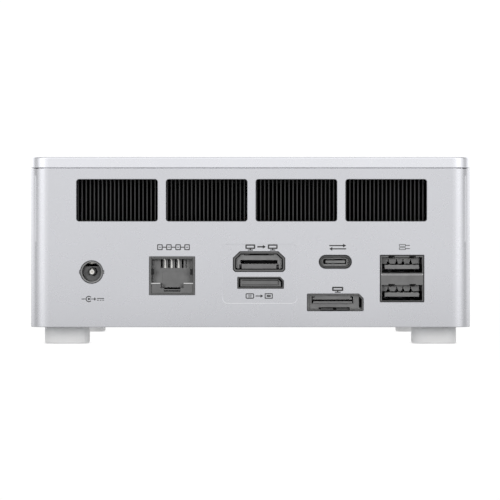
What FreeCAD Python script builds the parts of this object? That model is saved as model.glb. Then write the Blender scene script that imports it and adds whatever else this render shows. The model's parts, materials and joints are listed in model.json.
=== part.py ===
import FreeCAD, Part
import math
import os

# ---------------------------------------------------------------------------
# Compact desktop computer, millimetres.
# Frame: +Z up, origin at the middle of the footprint on the plane the feet
# stand on, +Y towards the rear port panel, -Y towards the front panel,
# +X to the right for someone facing the front.
# ---------------------------------------------------------------------------

# ---- driving dimensions ----------------------------------------------------
BODY_X = 130.0            # case width
BODY_Y = 126.0            # case depth
Z_BODY = 5.0              # underside of the case
Z_SPLIT = 51.78           # top edge of the main housing
LID_GAP = 0.24            # visible joint between housing and top cover
Z_TOP = 55.2              # top face
R_CORNER = 5.5            # vertical corner radius
WALL = 2.0                # housing wall
LID_T = 1.8               # top cover roof
R_LID_EDGE = 0.45         # rounding along the top edge
R_BOTTOM_EDGE = 0.2
BASE_T = 1.8              # bottom cover plate
BASE_GAP = 0.25

FOOT = 13.0               # rounded-square foot
FOOT_R = 3.2
FOOT_X = 54.5
FOOT_Y = 52.45
FOOT_HOLE_R = 3.4

WIN_W = 23.92             # rear exhaust windows
WIN_Z0, WIN_Z1 = 36.25, 48.59
WIN_X = (39.33, 12.91, -13.53, -39.98)
WIN_R = 0.8
WIN_CHAMFER = 0.12

FIN_PITCH = 1.2
FIN_T = 0.3
FIN_COUNT = 88
FIN_Y0, FIN_Y1 = 44.0, 58.5
FIN_Z0, FIN_Z1 = 35.4, 49.3

BOARD_Z0, BOARD_T = 27.6, 1.6
BOARD_X = 59.5
BOARD_Y0, BOARD_Y1 = -58.5, 60.4
BOSS_R = 3.0

PORT_Y = 62.7             # front plane of the rear connectors
GAP = 0.08                # clearance between a connector and its cut-out
LINE = 0.24               # wider clearance round the flared sockets

DC_X, DC_Z = 46.80, 21.27
DC_HOLE_R = 3.38
DC_BARREL_R = 3.20
DC_BORE_R = 2.85
DC_PIN_R = 1.0
DC_PIN_Y1 = 60.6
DC_FLOOR_Y = 53.6

LAN_X = 23.11
LAN_CUT = (16.38, 29.84, 14.53, 25.81)

INSERT_CUT = (-13.70, 8.25, 12.05, 29.46)
INSERT_R = 1.5
VA_X = -2.52              # wide video socket
SLIM_CUT = (-9.87, 3.92, 16.32, 19.86)

TC_X, TC_Z = -24.99, 24.28
TC_W, TC_H = 9.63, 4.0

VB_CUT = (-33.28, -16.70, 9.81, 14.85)
TA_CUT = (-51.16, -38.17, 12.44, 26.28)
TA_X = -44.67

FRONT_Z = 23.7            # centre line of the front sockets
FRONT_TA_X = (-36.0, -18.0)
FRONT_TC_X = -2.0
AUDIO_X = 12.0
AUDIO_R = 1.78
BTN_X, BTN_Z = 42.0, 24.0
BTN_R = 4.5
BTN_TRAVEL = 0.5

BLOWER_X, BLOWER_Y = 0.0, 2.0
IMPELLER_R = 28.5
BLADES = 41
SFAN = 50.0               # storage fan frame
SFAN_Z0, SFAN_Z1 = 7.9, 15.9
SFAN_R = 22.6

MOUNT_SPACING = 75.0      # bracket screws in the bottom cover
MOUNT_HOLE_R = 1.65

V = FreeCAD.Vector
PARTS = {}


# ---- helpers ----------------------------------------------------------------
def at(plane, u, v, level):
    if plane == "Z":
        return V(u, v, level)
    if plane == "Y":
        return V(u, level, v)
    return V(level, u, v)


def axis_of(plane):
    return {"Z": V(0, 0, 1), "Y": V(0, 1, 0), "X": V(1, 0, 0)}[plane]


def outline(plane, pts, level, radii=0.0):
    """Closed wire through pts with rounded corners."""
    n = len(pts)
    if not isinstance(radii, (list, tuple)):
        radii = [radii] * n
    ends = []
    for i in range(n):
        p0, p1, p2 = pts[i - 1], pts[i], pts[(i + 1) % n]
        r = radii[i]
        if r <= 0:
            ends.append((p1, p1, None))
            continue
        a = (p0[0] - p1[0], p0[1] - p1[1])
        b = (p2[0] - p1[0], p2[1] - p1[1])
        la, lb = math.hypot(*a), math.hypot(*b)
        a, b = (a[0] / la, a[1] / la), (b[0] / lb, b[1] / lb)
        ang = math.acos(max(-1.0, min(1.0, a[0] * b[0] + a[1] * b[1])))
        t = r / math.tan(ang / 2)
        s = (a[0] + b[0], a[1] + b[1])
        ls = math.hypot(*s)
        s = (s[0] / ls, s[1] / ls)
        d = r / math.sin(ang / 2)
        c = (p1[0] + s[0] * d, p1[1] + s[1] * d)
        m = (c[0] - s[0] * r, c[1] - s[1] * r)
        ends.append(((p1[0] + a[0] * t, p1[1] + a[1] * t),
                     (p1[0] + b[0] * t, p1[1] + b[1] * t), m))
    edges = []
    for i in range(n):
        p, q, m = ends[i]
        if m is not None:
            edges.append(Part.Arc(at(plane, *p, level), at(plane, *m, level),
                                  at(plane, *q, level)).toShape())
        nxt = ends[(i + 1) % n][0]
        if math.hypot(nxt[0] - q[0], nxt[1] - q[1]) > 1e-6:
            edges.append(Part.LineSegment(at(plane, *q, level),
                                          at(plane, *nxt, level)).toShape())
    return Part.Wire(edges)


def prism(plane, pts, lo, hi, radii=0.0):
    face = Part.Face(outline(plane, pts, lo, radii))
    return face.extrude(axis_of(plane) * (hi - lo))


def rect(u0, u1, v0, v1):
    return [(u0, v0), (u1, v0), (u1, v1), (u0, v1)]


def rr(plane, u0, u1, v0, v1, lo, hi, r):
    return prism(plane, rect(u0, u1, v0, v1), lo, hi, r)


def box(x0, x1, y0, y1, z0, z1):
    return Part.makeBox(x1 - x0, y1 - y0, z1 - z0, V(x0, y0, z0))


def cyl(plane, u, v, lo, hi, r):
    return Part.makeCylinder(r, hi - lo, at(plane, u, v, lo), axis_of(plane))


def cone(plane, u, v, lo, hi, r0, r1):
    return Part.makeCone(r0, r1, hi - lo, at(plane, u, v, lo), axis_of(plane))


def fuse(*shapes):
    shapes = [s for s in shapes]
    if len(shapes) == 1:
        return shapes[0]
    return shapes[0].multiFuse(shapes[1:]).removeSplitter()


def cut(base, *tools):
    if len(tools) == 1:
        return base.cut(tools[0])
    return base.cut(Part.makeCompound(list(tools)))


def group(shapes):
    return Part.makeCompound(shapes)


def edges_in(shape, x=None, y=None, z=None, tol=1e-4):
    """Edges lying wholly inside the given coordinate intervals."""
    out = []
    for e in shape.Edges:
        b = e.BoundBox
        ok = True
        for lim, lo, hi in ((x, b.XMin, b.XMax), (y, b.YMin, b.YMax), (z, b.ZMin, b.ZMax)):
            if lim is not None and (lo < lim[0] - tol or hi > lim[1] + tol):
                ok = False
        if ok:
            out.append(e)
    return out


def ribbon(plane, pts, bend, width, lo, hi):
    """Flat strip of constant width along straight runs joined by tangent arcs."""
    n = len(pts)
    left, right = [], []
    segs = []
    prev = pts[0]
    for i in range(1, n - 1):
        p0, p1, p2 = pts[i - 1], pts[i], pts[i + 1]
        a = (p0[0] - p1[0], p0[1] - p1[1])
        b = (p2[0] - p1[0], p2[1] - p1[1])
        la, lb = math.hypot(*a), math.hypot(*b)
        a, b = (a[0] / la, a[1] / la), (b[0] / lb, b[1] / lb)
        ang = math.acos(a[0] * b[0] + a[1] * b[1])
        t = bend / math.tan(ang / 2)
        s = (a[0] + b[0], a[1] + b[1])
        ls = math.hypot(*s)
        s = (s[0] / ls, s[1] / ls)
        d = bend / math.sin(ang / 2)
        c = (p1[0] + s[0] * d, p1[1] + s[1] * d)
        q0 = (p1[0] + a[0] * t, p1[1] + a[1] * t)
        q1 = (p1[0] + b[0] * t, p1[1] + b[1] * t)
        segs.append(("L", prev, q0))
        segs.append(("A", q0, q1, c, s))
        prev = q1
    segs.append(("L", prev, pts[-1]))
    h = width / 2.0
    shapes = []
    for s in segs:
        if s[0] == "L":
            p, q = s[1], s[2]
            l = math.hypot(q[0] - p[0], q[1] - p[1])
            if l < 1e-6:
                continue
            nx, ny = -(q[1] - p[1]) / l * h, (q[0] - p[0]) / l * h
            shapes.append(prism(plane, [(p[0] + nx, p[1] + ny), (p[0] - nx, p[1] - ny),
                                        (q[0] - nx, q[1] - ny), (q[0] + nx, q[1] + ny)], lo, hi))
        else:
            _, q0, q1, c, sv = s
            def pt(k, r):
                dx, dy = k[0] - c[0], k[1] - c[1]
                l = math.hypot(dx, dy)
                return (c[0] + dx / l * r, c[1] + dy / l * r)
            mid = (c[0] - sv[0], c[1] - sv[1])
            ro, ri = bend + h, bend - h
            e = [Part.Arc(at(plane, *pt(q0, ro), lo), at(plane, *pt(mid, ro), lo), at(plane, *pt(q1, ro), lo)).toShape(),
                 Part.LineSegment(at(plane, *pt(q1, ro), lo), at(plane, *pt(q1, ri), lo)).toShape(),
                 Part.Arc(at(plane, *pt(q1, ri), lo), at(plane, *pt(mid, ri), lo), at(plane, *pt(q0, ri), lo)).toShape(),
                 Part.LineSegment(at(plane, *pt(q0, ri), lo), at(plane, *pt(q0, ro), lo)).toShape()]
            shapes.append(Part.Face(Part.Wire(e)).extrude(axis_of(plane) * (hi - lo)))
    return fuse(*shapes)


def inset(pts, d):
    """Polygon (counter-clockwise) moved inward by d along every edge."""
    n = len(pts)
    out = []
    for i in range(n):
        p0, p1, p2 = pts[i - 1], pts[i], pts[(i + 1) % n]
        def line(a, b):
            l = math.hypot(b[0] - a[0], b[1] - a[1])
            nx, ny = -(b[1] - a[1]) / l, (b[0] - a[0]) / l
            return (a[0] + nx * d, a[1] + ny * d, (b[0] - a[0]) / l, (b[1] - a[1]) / l)
        x1, y1, dx1, dy1 = line(p0, p1)
        x2, y2, dx2, dy2 = line(p1, p2)
        den = dx1 * dy2 - dy1 * dx2
        if abs(den) < 1e-9:
            out.append((x2, y2))
            continue
        t = ((x2 - x1) * dy2 - (y2 - y1) * dx2) / den
        out.append((x1 + dx1 * t, y1 + dy1 * t))
    return out


def save(name, shape):
    PARTS[name] = shape


HX, HY = BODY_X / 2, BODY_Y / 2

# ---------------------------------------------------------------------------
# Case
# ---------------------------------------------------------------------------
# Outline of the wide video socket: narrow side up, wide side down.
VA_OUT = [(VA_X - 7.05, 21.27), (VA_X + 7.05, 21.27), (VA_X + 7.73, 21.95),
          (VA_X + 7.73, 25.45), (VA_X + 5.67, 27.40), (VA_X - 5.67, 27.40),
          (VA_X - 7.73, 25.45), (VA_X - 7.73, 21.95)]
# Slim expansion socket, one corner cut for keying.
SL = SLIM_CUT
SL_OUT = [(SL[0], SL[2]), (SL[1], SL[2]), (SL[1], SL[3]), (SL[0] + 1.1, SL[3]), (SL[0], SL[3] - 1.1)]
# Narrow video socket, one corner cut for keying.
VB = VB_CUT
VB_OUT = [(VB[0], VB[2]), (VB[1], VB[2]), (VB[1], VB[3]), (VB[0] + 1.35, VB[3]), (VB[0], VB[3] - 1.35)]


def make_housing():
    outer = rr("Z", -HX, HX, -HY, HY, Z_BODY, Z_SPLIT, R_CORNER)
    outer = outer.makeFillet(R_BOTTOM_EDGE, edges_in(outer, z=(Z_BODY, Z_BODY)))
    outer = outer.makeFillet(0.15, edges_in(outer, z=(Z_SPLIT, Z_SPLIT)))
    body = cut(outer, rr("Z", -HX + WALL, HX - WALL, -HY + WALL, HY - WALL,
                         Z_BODY - 1, Z_SPLIT + 1, R_CORNER - WALL))
    adds = []
    for sx in (1, -1):
        for sy in (1, -1):
            # screw boss that carries the board above and the bottom cover below
            adds.append(cyl("Z", sx * FOOT_X, sy * FOOT_Y, Z_BODY + BASE_T + 0.1, BOARD_Z0, BOSS_R))
            x0, x1 = sorted((sx * (FOOT_X + 1.5), sx * (HX - WALL + 0.6)))
            adds.append(box(x0, x1, sy * FOOT_Y - 1.0, sy * FOOT_Y + 1.0, 10.0, 27.0))
            # corner post that the top cover rests on
            x0, x1 = sorted((sx * 58.0, sx * (HX - WALL + 0.6)))
            y0, y1 = sorted((sy * 59.2, sy * (HY - WALL + 0.6)))
            adds.append(box(x0, x1, y0, y1, 30.2, 49.7))
    # ledge ribs along the side walls just above the board
    for sx in (1, -1):
        for y in (-30.0, 0.0, 30.0):
            x0, x1 = sorted((sx * 61.4, sx * (HX - WALL + 0.6)))
            adds.append(box(x0, x1, y - 0.8, y + 0.8, 8.0, 34.8))
    body = fuse(body, *adds)
    # keep the outer skin exactly as it was where posts were added
    tools = []
    for sx in (1, -1):
        for sy in (1, -1):
            tools.append(cyl("Z", sx * FOOT_X, sy * FOOT_Y, 5.0, 15.0, 1.5))
            tools.append(cyl("Z", sx * FOOT_X, sy * FOOT_Y, 22.0, 28.0, 1.25))
    # exhaust windows
    for cx in WIN_X:
        tools.append(rr("Y", cx - WIN_W / 2, cx + WIN_W / 2, WIN_Z0, WIN_Z1, HY - WALL - 1, HY + 1, WIN_R))
    # rear connector cut-outs
    tools.append(cyl("Y", DC_X, DC_Z, 60, 64, DC_HOLE_R))
    tools.append(box(DC_X - 3.62, DC_X + 3.62, 60, 64, DC_Z - 0.5, DC_Z + 0.5))
    tools.append(rr("Y", LAN_CUT[0], LAN_CUT[1], LAN_CUT[2], LAN_CUT[3], 60, 64, 0.15))
    tools.append(rr("Y", INSERT_CUT[0], INSERT_CUT[1], INSERT_CUT[2], INSERT_CUT[3], 60, 64, INSERT_R))
    tools.append(rr("Y", TC_X - TC_W / 2, TC_X + TC_W / 2, TC_Z - TC_H / 2, TC_Z + TC_H / 2, 60, 64, TC_H / 2 - 0.005))
    tools.append(prism("Y", VB_OUT, 60, 64, 0.3))
    tools.append(rr("Y", TA_CUT[0], TA_CUT[1], TA_CUT[2], TA_CUT[3], 60, 64, 0.2))
    # front cut-outs
    for cx in FRONT_TA_X:
        tools.append(rr("Y", cx - 6.65, cx + 6.65, FRONT_Z - 2.95, FRONT_Z + 2.95, -64, -60, 0.3))
    tools.append(rr("Y", FRONT_TC_X - TC_W / 2, FRONT_TC_X + TC_W / 2, FRONT_Z - TC_H / 2, FRONT_Z + TC_H / 2,
                    -64, -60, TC_H / 2 - 0.005))
    # formed hole with a little draft, wider towards the inside
    tools.append(cone("Y", AUDIO_X, FRONT_Z, -64, -60, 2.99, 3.05))
    tools.append(cyl("Y", BTN_X, BTN_Z, -64, -60, 5.65))
    # side intake slots, both sides
    for i in range(18):
        y = -46.0 + i * 3.6
        tools.append(rr("X", y - 0.8, y + 0.8, WIN_Z0, WIN_Z1, -HX - 1, -HX + WALL + 0.3, 0.79))
        tools.append(rr("X", y - 0.8, y + 0.8, WIN_Z0, WIN_Z1, HX - WALL - 0.3, HX + 1, 0.79))
    body = cut(body, *tools)
    # broken edges around the windows and the cut-outs on the outer faces
    rim = [e for e in edges_in(body, y=(HY, HY), z=(WIN_Z0 - 0.1, WIN_Z1 + 0.1))
           if e.BoundBox.DiagonalLength < 25]
    try:
        body = body.makeChamfer(WIN_CHAMFER, rim)
    except Exception as err:
        print("window chamfer skipped", err)
    rim = [e for e in edges_in(body, y=(HY, HY), z=(9.0, 30.0), x=(-52, 52))]
    try:
        body = body.makeChamfer(0.12, rim)
    except Exception as err:
        print("port chamfer skipped", err)
    rim = [e for e in edges_in(body, y=(-HY, -HY), z=(17.0, 30.0), x=(-50, 50))]
    try:
        body = body.makeChamfer(0.2, rim)
    except Exception as err:
        print("front chamfer skipped", err)
    return body


save("main_housing", make_housing())


def make_insert():
    c = INSERT_CUT
    g = 0.03
    p = rr("Y", c[0] + g, c[1] - g, c[2] + g, c[3] - g, 61.0, HY, INSERT_R - g)
    p = p.makeChamfer(0.1, edges_in(p, y=(HY, HY)))
    p = cut(p, prism("Y", VA_OUT, 60, 64, 0.25), prism("Y", SL_OUT, 60, 64, 0.25))
    return p


save("io_insert_plate", make_insert())


def make_lid():
    z0 = Z_SPLIT + LID_GAP
    s = rr("Z", -HX, HX, -HY, HY, z0, Z_TOP, R_CORNER)
    s = s.makeFillet(R_LID_EDGE, edges_in(s, z=(Z_TOP, Z_TOP)))
    s = s.makeFillet(0.15, edges_in(s, z=(z0, z0)))
    roof = Z_TOP - LID_T
    s = cut(s, rr("Z", -HX + WALL, HX - WALL, -HY + WALL, HY - WALL, z0 - 1, roof, R_CORNER - WALL))
    # skirt that drops inside the housing
    o = 0.28
    lip = cut(rr("Z", -HX + WALL + o, HX - WALL - o, -HY + WALL + o, HY - WALL - o, 49.75, roof + 0.6, R_CORNER - WALL - o),
              rr("Z", -HX + WALL + o + 1.2, HX - WALL - o - 1.2, -HY + WALL + o + 1.2, HY - WALL - o - 1.2, 49.0, roof + 1.0, 2.0))
    # roof bridges the thin step between skirt and rim
    bridge = cut(rr("Z", -HX + 0.8, HX - 0.8, -HY + 0.8, HY - 0.8, 52.6, roof + 0.4, R_CORNER - 0.8),
                 rr("Z", -HX + WALL + o + 1.2, HX - WALL - o - 1.2, -HY + WALL + o + 1.2, HY - WALL - o - 1.2, 49.0, roof + 1.0, 2.0))
    ribs = []
    for x in (-40.0, 0.0, 40.0):
        ribs.append(box(x - 0.6, x + 0.6, -59.8, 59.8, roof - 0.9, roof + 0.3))
    for y in (-40.0, 40.0):
        ribs.append(box(-61.8, 61.8, y - 0.6, y + 0.6, roof - 0.9, roof + 0.3))
    return fuse(s, lip, bridge, *ribs)


save("top_cover", make_lid())


def make_base():
    g = BASE_GAP
    z1 = Z_BODY + BASE_T
    s = rr("Z", -HX + WALL + g, HX - WALL - g, -HY + WALL + g, HY - WALL - g, Z_BODY, z1, R_CORNER - WALL - g)
    s = s.makeFillet(0.3, edges_in(s, z=(Z_BODY, Z_BODY)))
    adds = []
    h = MOUNT_SPACING / 2
    for sx in (1, -1):
        for sy in (1, -1):
            adds.append(cyl("Z", sx * h, sy * h, z1 - 0.5, Z_BODY + 5.0, 3.2))
            adds.append(cyl("Z", sx * 21.0, sy * 21.0, z1 - 0.5, 9.4, 1.1))
    # shallow wall that guides air into the fan
    adds.append(cut(cyl("Z", 0, 0, z1 - 0.5, 7.7, 24.6), cyl("Z", 0, 0, z1 - 1.0, 8.0, 23.6)))
    s = fuse(s, *adds)
    tools = []
    for sx in (1, -1):
        for sy in (1, -1):
            tools.append(cyl("Z", sx * h, sy * h, Z_BODY - 1, Z_BODY + 5.5, MOUNT_HOLE_R))
            tools.append(cyl("Z", sx * FOOT_X, sy * FOOT_Y, Z_BODY - 1, z1 + 1, 1.7))
    # slotted grille under the storage fan
    for i in range(-6, 7):
        y = i * 3.5
        half = math.sqrt(max(0.0, 23.2 ** 2 - (abs(y) + 0.8) ** 2))
        if half < 5:
            continue
        for sx in (1, -1):
            a, b = sorted((sx * 1.0, sx * half))
            tools.append(rr("Z", a, b, y - 0.85, y + 0.85, Z_BODY - 1, z1 + 2, 0.84))
    # two rows of slots below the memory and the drives
    for sy in (1, -1):
        for i in range(-7, 8):
            x = i * 3.6
            a, b = sorted((sy * 41.5, sy * 50.5))
            tools.append(rr("Z", x - 0.85, x + 0.85, a, b, Z_BODY - 1, z1 + 1, 0.84))
    return cut(s, *tools)


save("bottom_cover", make_base())


def make_foot(cx, cy):
    s = rr("Z", cx - FOOT / 2, cx + FOOT / 2, cy - FOOT / 2, cy + FOOT / 2, 0.0, Z_BODY, FOOT_R)
    s = s.makeFillet(0.55, edges_in(s, z=(0, 0)))
    s = cut(s, cyl("Z", cx, cy, -1, Z_BODY + 1, FOOT_HOLE_R), cone("Z", cx, cy, -0.5, 0.6, FOOT_HOLE_R + 1.1, FOOT_HOLE_R))
    return s


for name, sx, sy in (("foot_rear_right", 1, 1), ("foot_rear_left", -1, 1),
                     ("foot_front_right", 1, -1), ("foot_front_left", -1, -1)):
    save(name, make_foot(sx * FOOT_X, sy * FOOT_Y))


def cross_screw_up(cx, cy, z_head0, z_head1, r_head, r_shank, z_tip):
    """Screw driven upwards: head below, tip above."""
    s = fuse(cyl("Z", cx, cy, z_head0, z_head1, r_head), cyl("Z", cx, cy, z_head1 - 0.2, z_tip, r_shank))
    s = s.makeFillet(min(0.5, (z_head1 - z_head0) * 0.5), [e for e in edges_in(s, z=(z_head0, z_head0))])
    d = z_head0
    return cut(s, box(cx - 1.4, cx + 1.4, cy - 0.3, cy + 0.3, d - 1, d + 0.9),
               box(cx - 0.3, cx + 0.3, cy - 1.4, cy + 1.4, d - 1, d + 0.9))


def cross_screw_down(cx, cy, z_tip, z_head0, z_head1, r_head, r_shank):
    """Screw driven downwards: head on top."""
    s = fuse(cyl("Z", cx, cy, z_head0, z_head1, r_head), cyl("Z", cx, cy, z_tip, z_head0 + 0.2, r_shank))
    s = s.makeFillet(min(0.5, (z_head1 - z_head0) * 0.5), [e for e in edges_in(s, z=(z_head1, z_head1))])
    d = z_head1
    k = r_head * 0.55
    return cut(s, box(cx - k, cx + k, cy - 0.25, cy + 0.25, d - 0.7, d + 1),
               box(cx - 0.25, cx + 0.25, cy - k, cy + k, d - 0.7, d + 1))


save("cover_screws", group([cross_screw_up(sx * FOOT_X, sy * FOOT_Y, 3.6, Z_BODY, 2.7, 1.5, 14.0)
                            for sx in (1, -1) for sy in (1, -1)]))

# ---------------------------------------------------------------------------
# Rear connectors (all hang from the underside of the board)
# ---------------------------------------------------------------------------
# Barrel power jack
dc = fuse(cyl("Y", DC_X, DC_Z, 50.0, PORT_Y, DC_BARREL_R),
          box(DC_X - 4.5, DC_X + 4.5, 47.5, 59.5, 17.4, BOARD_Z0),
          box(DC_X - 3.53, DC_X + 3.53, 58.0, PORT_Y - 0.1, DC_Z - 0.4, DC_Z + 0.4))
# crescent pocket above the pin, open at the back, where the leaf contact sits
pocket = cyl("Y", DC_X, DC_Z, 46.5, DC_FLOOR_Y + 0.1, DC_BORE_R).common(
    box(DC_X - 3.0, DC_X + 3.0, 46.0, 54.5, DC_Z + 1.55, DC_Z + 3.2))
dc = cut(dc, cyl("Y", DC_X, DC_Z, DC_FLOOR_Y, 64, DC_BORE_R),
         cone("Y", DC_X, DC_Z, PORT_Y - 0.2, PORT_Y + 0.01, DC_BORE_R, DC_BORE_R + 0.15),
         pocket,
         box(DC_X - 0.95, DC_X + 0.95, 50.0, 61.2, DC_Z + 2.3, DC_Z + 3.0),
         cyl("Y", DC_X, DC_Z, DC_FLOOR_Y - 1.6, DC_FLOOR_Y + 0.1, DC_PIN_R + 0.25),
         cyl("Y", DC_X, DC_Z, 49.0, DC_FLOOR_Y, DC_PIN_R - 0.3))
save("dc_jack_body", dc)
pin = fuse(cyl("Y", DC_X, DC_Z, 49.5, DC_FLOOR_Y + 0.1, DC_PIN_R - 0.3), cyl("Y", DC_X, DC_Z, DC_FLOOR_Y, DC_PIN_Y1, DC_PIN_R))
pin = pin.makeChamfer(0.3, edges_in(pin, y=(DC_PIN_Y1, DC_PIN_Y1)))
pin = cut(pin, cone("Y", DC_X, DC_Z, DC_PIN_Y1 - 0.5, DC_PIN_Y1 + 0.01, 0.12, 0.36))
save("dc_jack_pin", pin)
# leaf contact that presses on the plug's sleeve
save("dc_jack_spring", prism("X", [(51.0, DC_Z + 2.35), (60.4, DC_Z + 2.35), (60.9, DC_Z + 2.75),
                                   (60.7, DC_Z + 2.95), (60.3, DC_Z + 2.62), (51.0, DC_Z + 2.62)],
                             DC_X - 0.8, DC_X + 0.8))

# Network jack
lx = LAN_X
c = LAN_CUT
shell = fuse(box(c[0] + GAP, c[1] - GAP, 60.0, PORT_Y, c[2] + GAP, c[3] - GAP),
             box(15.3, 30.92, 41.5, 60.6, 13.6, 27.2))
shell = cut(shell, box(c[0] + 0.56, c[1] - 0.56, 60.0, 64, c[2] + 0.42, c[3] - 0.42),
            box(15.6, 30.62, 41.8, 60.3, 13.9, 26.9),
            box(15.6, 30.62, 41.0, 42.0, 13.3, 13.95),
            box(lx - 4.3, lx + 4.3, 41.0, 42.0, 22.0, 25.4),
            box(lx - 2.3, lx + 2.3, 41.0, 42.0, 15.5, 16.9))
# inward grounding tabs at the mouth
tabs = [box(c[0] + 0.5, c[0] + 1.4, 61.0, 61.5, 20.45, 22.15),
        box(c[1] - 1.4, c[1] - 0.5, 61.0, 61.5, 20.45, 22.15),
        box(lx - 5.5, lx - 5.0, 55.0, 57.0, 26.9, BOARD_Z0),
        box(lx + 5.0, lx + 5.5, 55.0, 57.0, 26.9, BOARD_Z0)]
save("lan_jack_shell", fuse(shell, *tabs))

cav = [(lx - 2.45, 15.5), (lx + 2.45, 15.5), (lx + 2.45, 16.62), (lx + 3.4, 16.62), (lx + 3.4, 17.85),
       (lx + 6.0, 17.85), (lx + 6.0, 25.1), (lx - 6.0, 25.1), (lx - 6.0, 17.85), (lx - 3.4, 17.85),
       (lx - 3.4, 16.62), (lx - 2.45, 16.62)]
face = box(c[0] + 0.66, c[1] - 0.66, 60.0, 62.45, c[2] + 0.5, c[3] - 0.5)
face = cut(face, prism("Y", cav, 59.0, 64))
# lit edges: the ledges beside the latch channel are bevelled
face = cut(face, *[prism("X", [(62.27, 17.85), (62.47, 17.65), (62.47, 17.86)], x0, x1)
                   for x0, x1 in ((lx - 6.0, lx - 3.4), (lx + 3.4, lx + 6.0))],
           *[prism("X", [(62.27, 16.62), (62.47, 16.42), (62.47, 16.63)], x0, x1)
             for x0, x1 in ((lx - 3.4, lx - 2.45), (lx + 2.45, lx + 3.4))])
ins = fuse(face, cut(box(15.65, 30.57, 42.0, 60.25, 13.95, 26.85), prism("Y", cav, 49.6, 64)))
# comb slots in the end wall, wide and narrow in turn
COMB = ((3.4, 0.6), (1.25, 0.52), (-0.8, 0.5), (-2.85, 0.56), (-3.88, 0.3))
ins = cut(ins, box(c[0] - 0.1, c[0] + 1.45, 60.8, 63, 20.25, 22.35),
          box(c[1] - 1.45, c[1] + 0.1, 60.8, 63, 20.25, 22.35),
          *[box(lx + dx - w / 2, lx + dx + w / 2, 41.5, 50.0, 22.27, 25.3) for dx, w in COMB],
          box(lx - 3.95, lx + 3.6, 48.6, 50.0, 24.75, 25.1),
          # latch channel runs through under the end wall
          box(lx - 2.45, lx + 2.45, 41.5, 50.0, 15.5, 16.5),
          # shallow pocket behind the latch channel
          box(lx - 3.3, lx + 3.2, 48.9, 50.0, 16.7, 21.1))
# lip across the latch channel
ins = fuse(ins, box(lx - 2.6, lx + 2.6, 57.5, 61.9, 15.86, 16.16))
save("lan_jack_insert", ins)
# eight wires: three stand forward, five lie back in the comb
wires = []
for dx in (2.3, 0.38, -1.7):
    x = lx + dx
    wires.append(fuse(box(x - 0.13, x + 0.13, 51.3, 61.4, 24.82, 25.02),
                      prism("Y", [(x + 0.28, 22.3), (x + 0.14, 24.9), (x - 0.12, 24.9), (x - 0.3, 22.3)], 51.2, 51.45)))
for dx, w in COMB:
    x = lx + dx
    wires.append(box(x - 0.09, x + 0.09, 43.0, 49.0, 24.95, 25.12))
save("lan_jack_contacts", group(wires))

# Wide video socket: flared shell, plastic core with blade
va_shell_out = inset(VA_OUT, LINE)
va_mid = inset(VA_OUT, 0.42)
va_in = inset(VA_OUT, 0.72)
va_core = inset(VA_OUT, 1.0)
shell = fuse(prism("Y", va_shell_out, 61.2, PORT_Y, 0.25), prism("Y", va_mid, 50.5, PORT_Y - 0.2, 0.25))
shell = cut(shell, prism("Y", va_in, 50.8, 64, 0.2),
            box(VA_X - 4.4, VA_X - 2.6, 53.0, 60.8, 26.3, 27.5),
            box(VA_X + 2.6, VA_X + 4.4, 53.0, 60.8, 26.3, 27.5),
            box(VA_X - 5.9, VA_X + 5.9, 50.0, 51.0, 22.2, 24.9))
shell = shell.makeChamfer(0.12, [e for e in edges_in(shell, x=(VA_X - 7.2, VA_X + 7.2), y=(PORT_Y, PORT_Y), z=(21.9, 26.8))])
sp = [prism("X", [(53.0, 26.98), (53.0, 26.68), (58.5, 26.25), (60.2, 26.45), (60.2, 26.7), (58.4, 26.52)],
            VA_X + s * 3.5 - 0.65, VA_X + s * 3.5 + 0.65) for s in (1, -1)]
pegs = [box(VA_X + s * 6.2 - 0.3, VA_X + s * 6.2 + 0.3, 51.5, 53.5, 24.0, BOARD_Z0) for s in (1, -1)]
pegs = [cut(p, prism("Y", va_in, 50.8, 64, 0.2)) for p in pegs]
save("video_a_shell", fuse(shell, *sp, *pegs))
core = fuse(prism("Y", inset(VA_OUT, 0.76), 50.85, 52.3, 0.2), prism("Y", va_core, 52.0, 56.4, 0.1))
core = cut(core, box(VA_X - 5.5, VA_X + 5.5, 50.0, 58, 23.66, 24.72),
           box(VA_X - 5.85, VA_X + 5.85, 52.6, 58, 22.1, 23.4),
           box(VA_X - 5.85, VA_X - 5.25, 50.0, 58, 22.1, 23.4),
           box(VA_X + 5.25, VA_X + 5.85, 50.0, 58, 22.1, 23.4),
           box(VA_X - 4.4, VA_X + 4.4, 52.8, 58, 26.1, 27.5))
core = fuse(core, box(VA_X - 5.1, VA_X + 5.1, 50.9, 61.4, 22.24, 23.62))
core = cut(core, *[box(VA_X - 4.72 + i * 1.0, VA_X - 4.30 + i * 1.0, 52.8, 61.0, 23.45, 23.8) for i in range(10)])
save("video_a_core", core)

# Slim expansion socket
shell = cut(prism("Y", inset(SL_OUT, GAP), 53.5, PORT_Y, 0.2), prism("Y", inset(SL_OUT, 0.42), 53.8, 64, 0.15))
legs = [box(SL[0] + 1.0, SL[0] + 1.5, 54.0, 56.0, SL[3] - 0.3, 21.05), box(SL[1] - 1.5, SL[1] - 1.0, 54.0, 56.0, SL[3] - 0.3, 21.05)]
save("expansion_shell", fuse(shell, *legs))
blk = [(SL[0] + 0.86, SL[2] + 0.62), (SL[1] - 0.9, SL[2] + 0.62), (SL[1] - 0.9, SL[3] - 0.72),
       (SL[0] + 1.75, SL[3] - 0.72), (SL[0] + 0.86, SL[3] - 1.6)]
core = fuse(prism("Y", inset(SL_OUT, 0.46), 53.8, 56.2), prism("Y", blk, 55.8, 61.9, [0.1, 0.1, 0.1, 0.5, 0.5]))
core = core.makeChamfer(0.1, [e for e in edges_in(core, y=(61.9, 61.9))])
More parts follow.
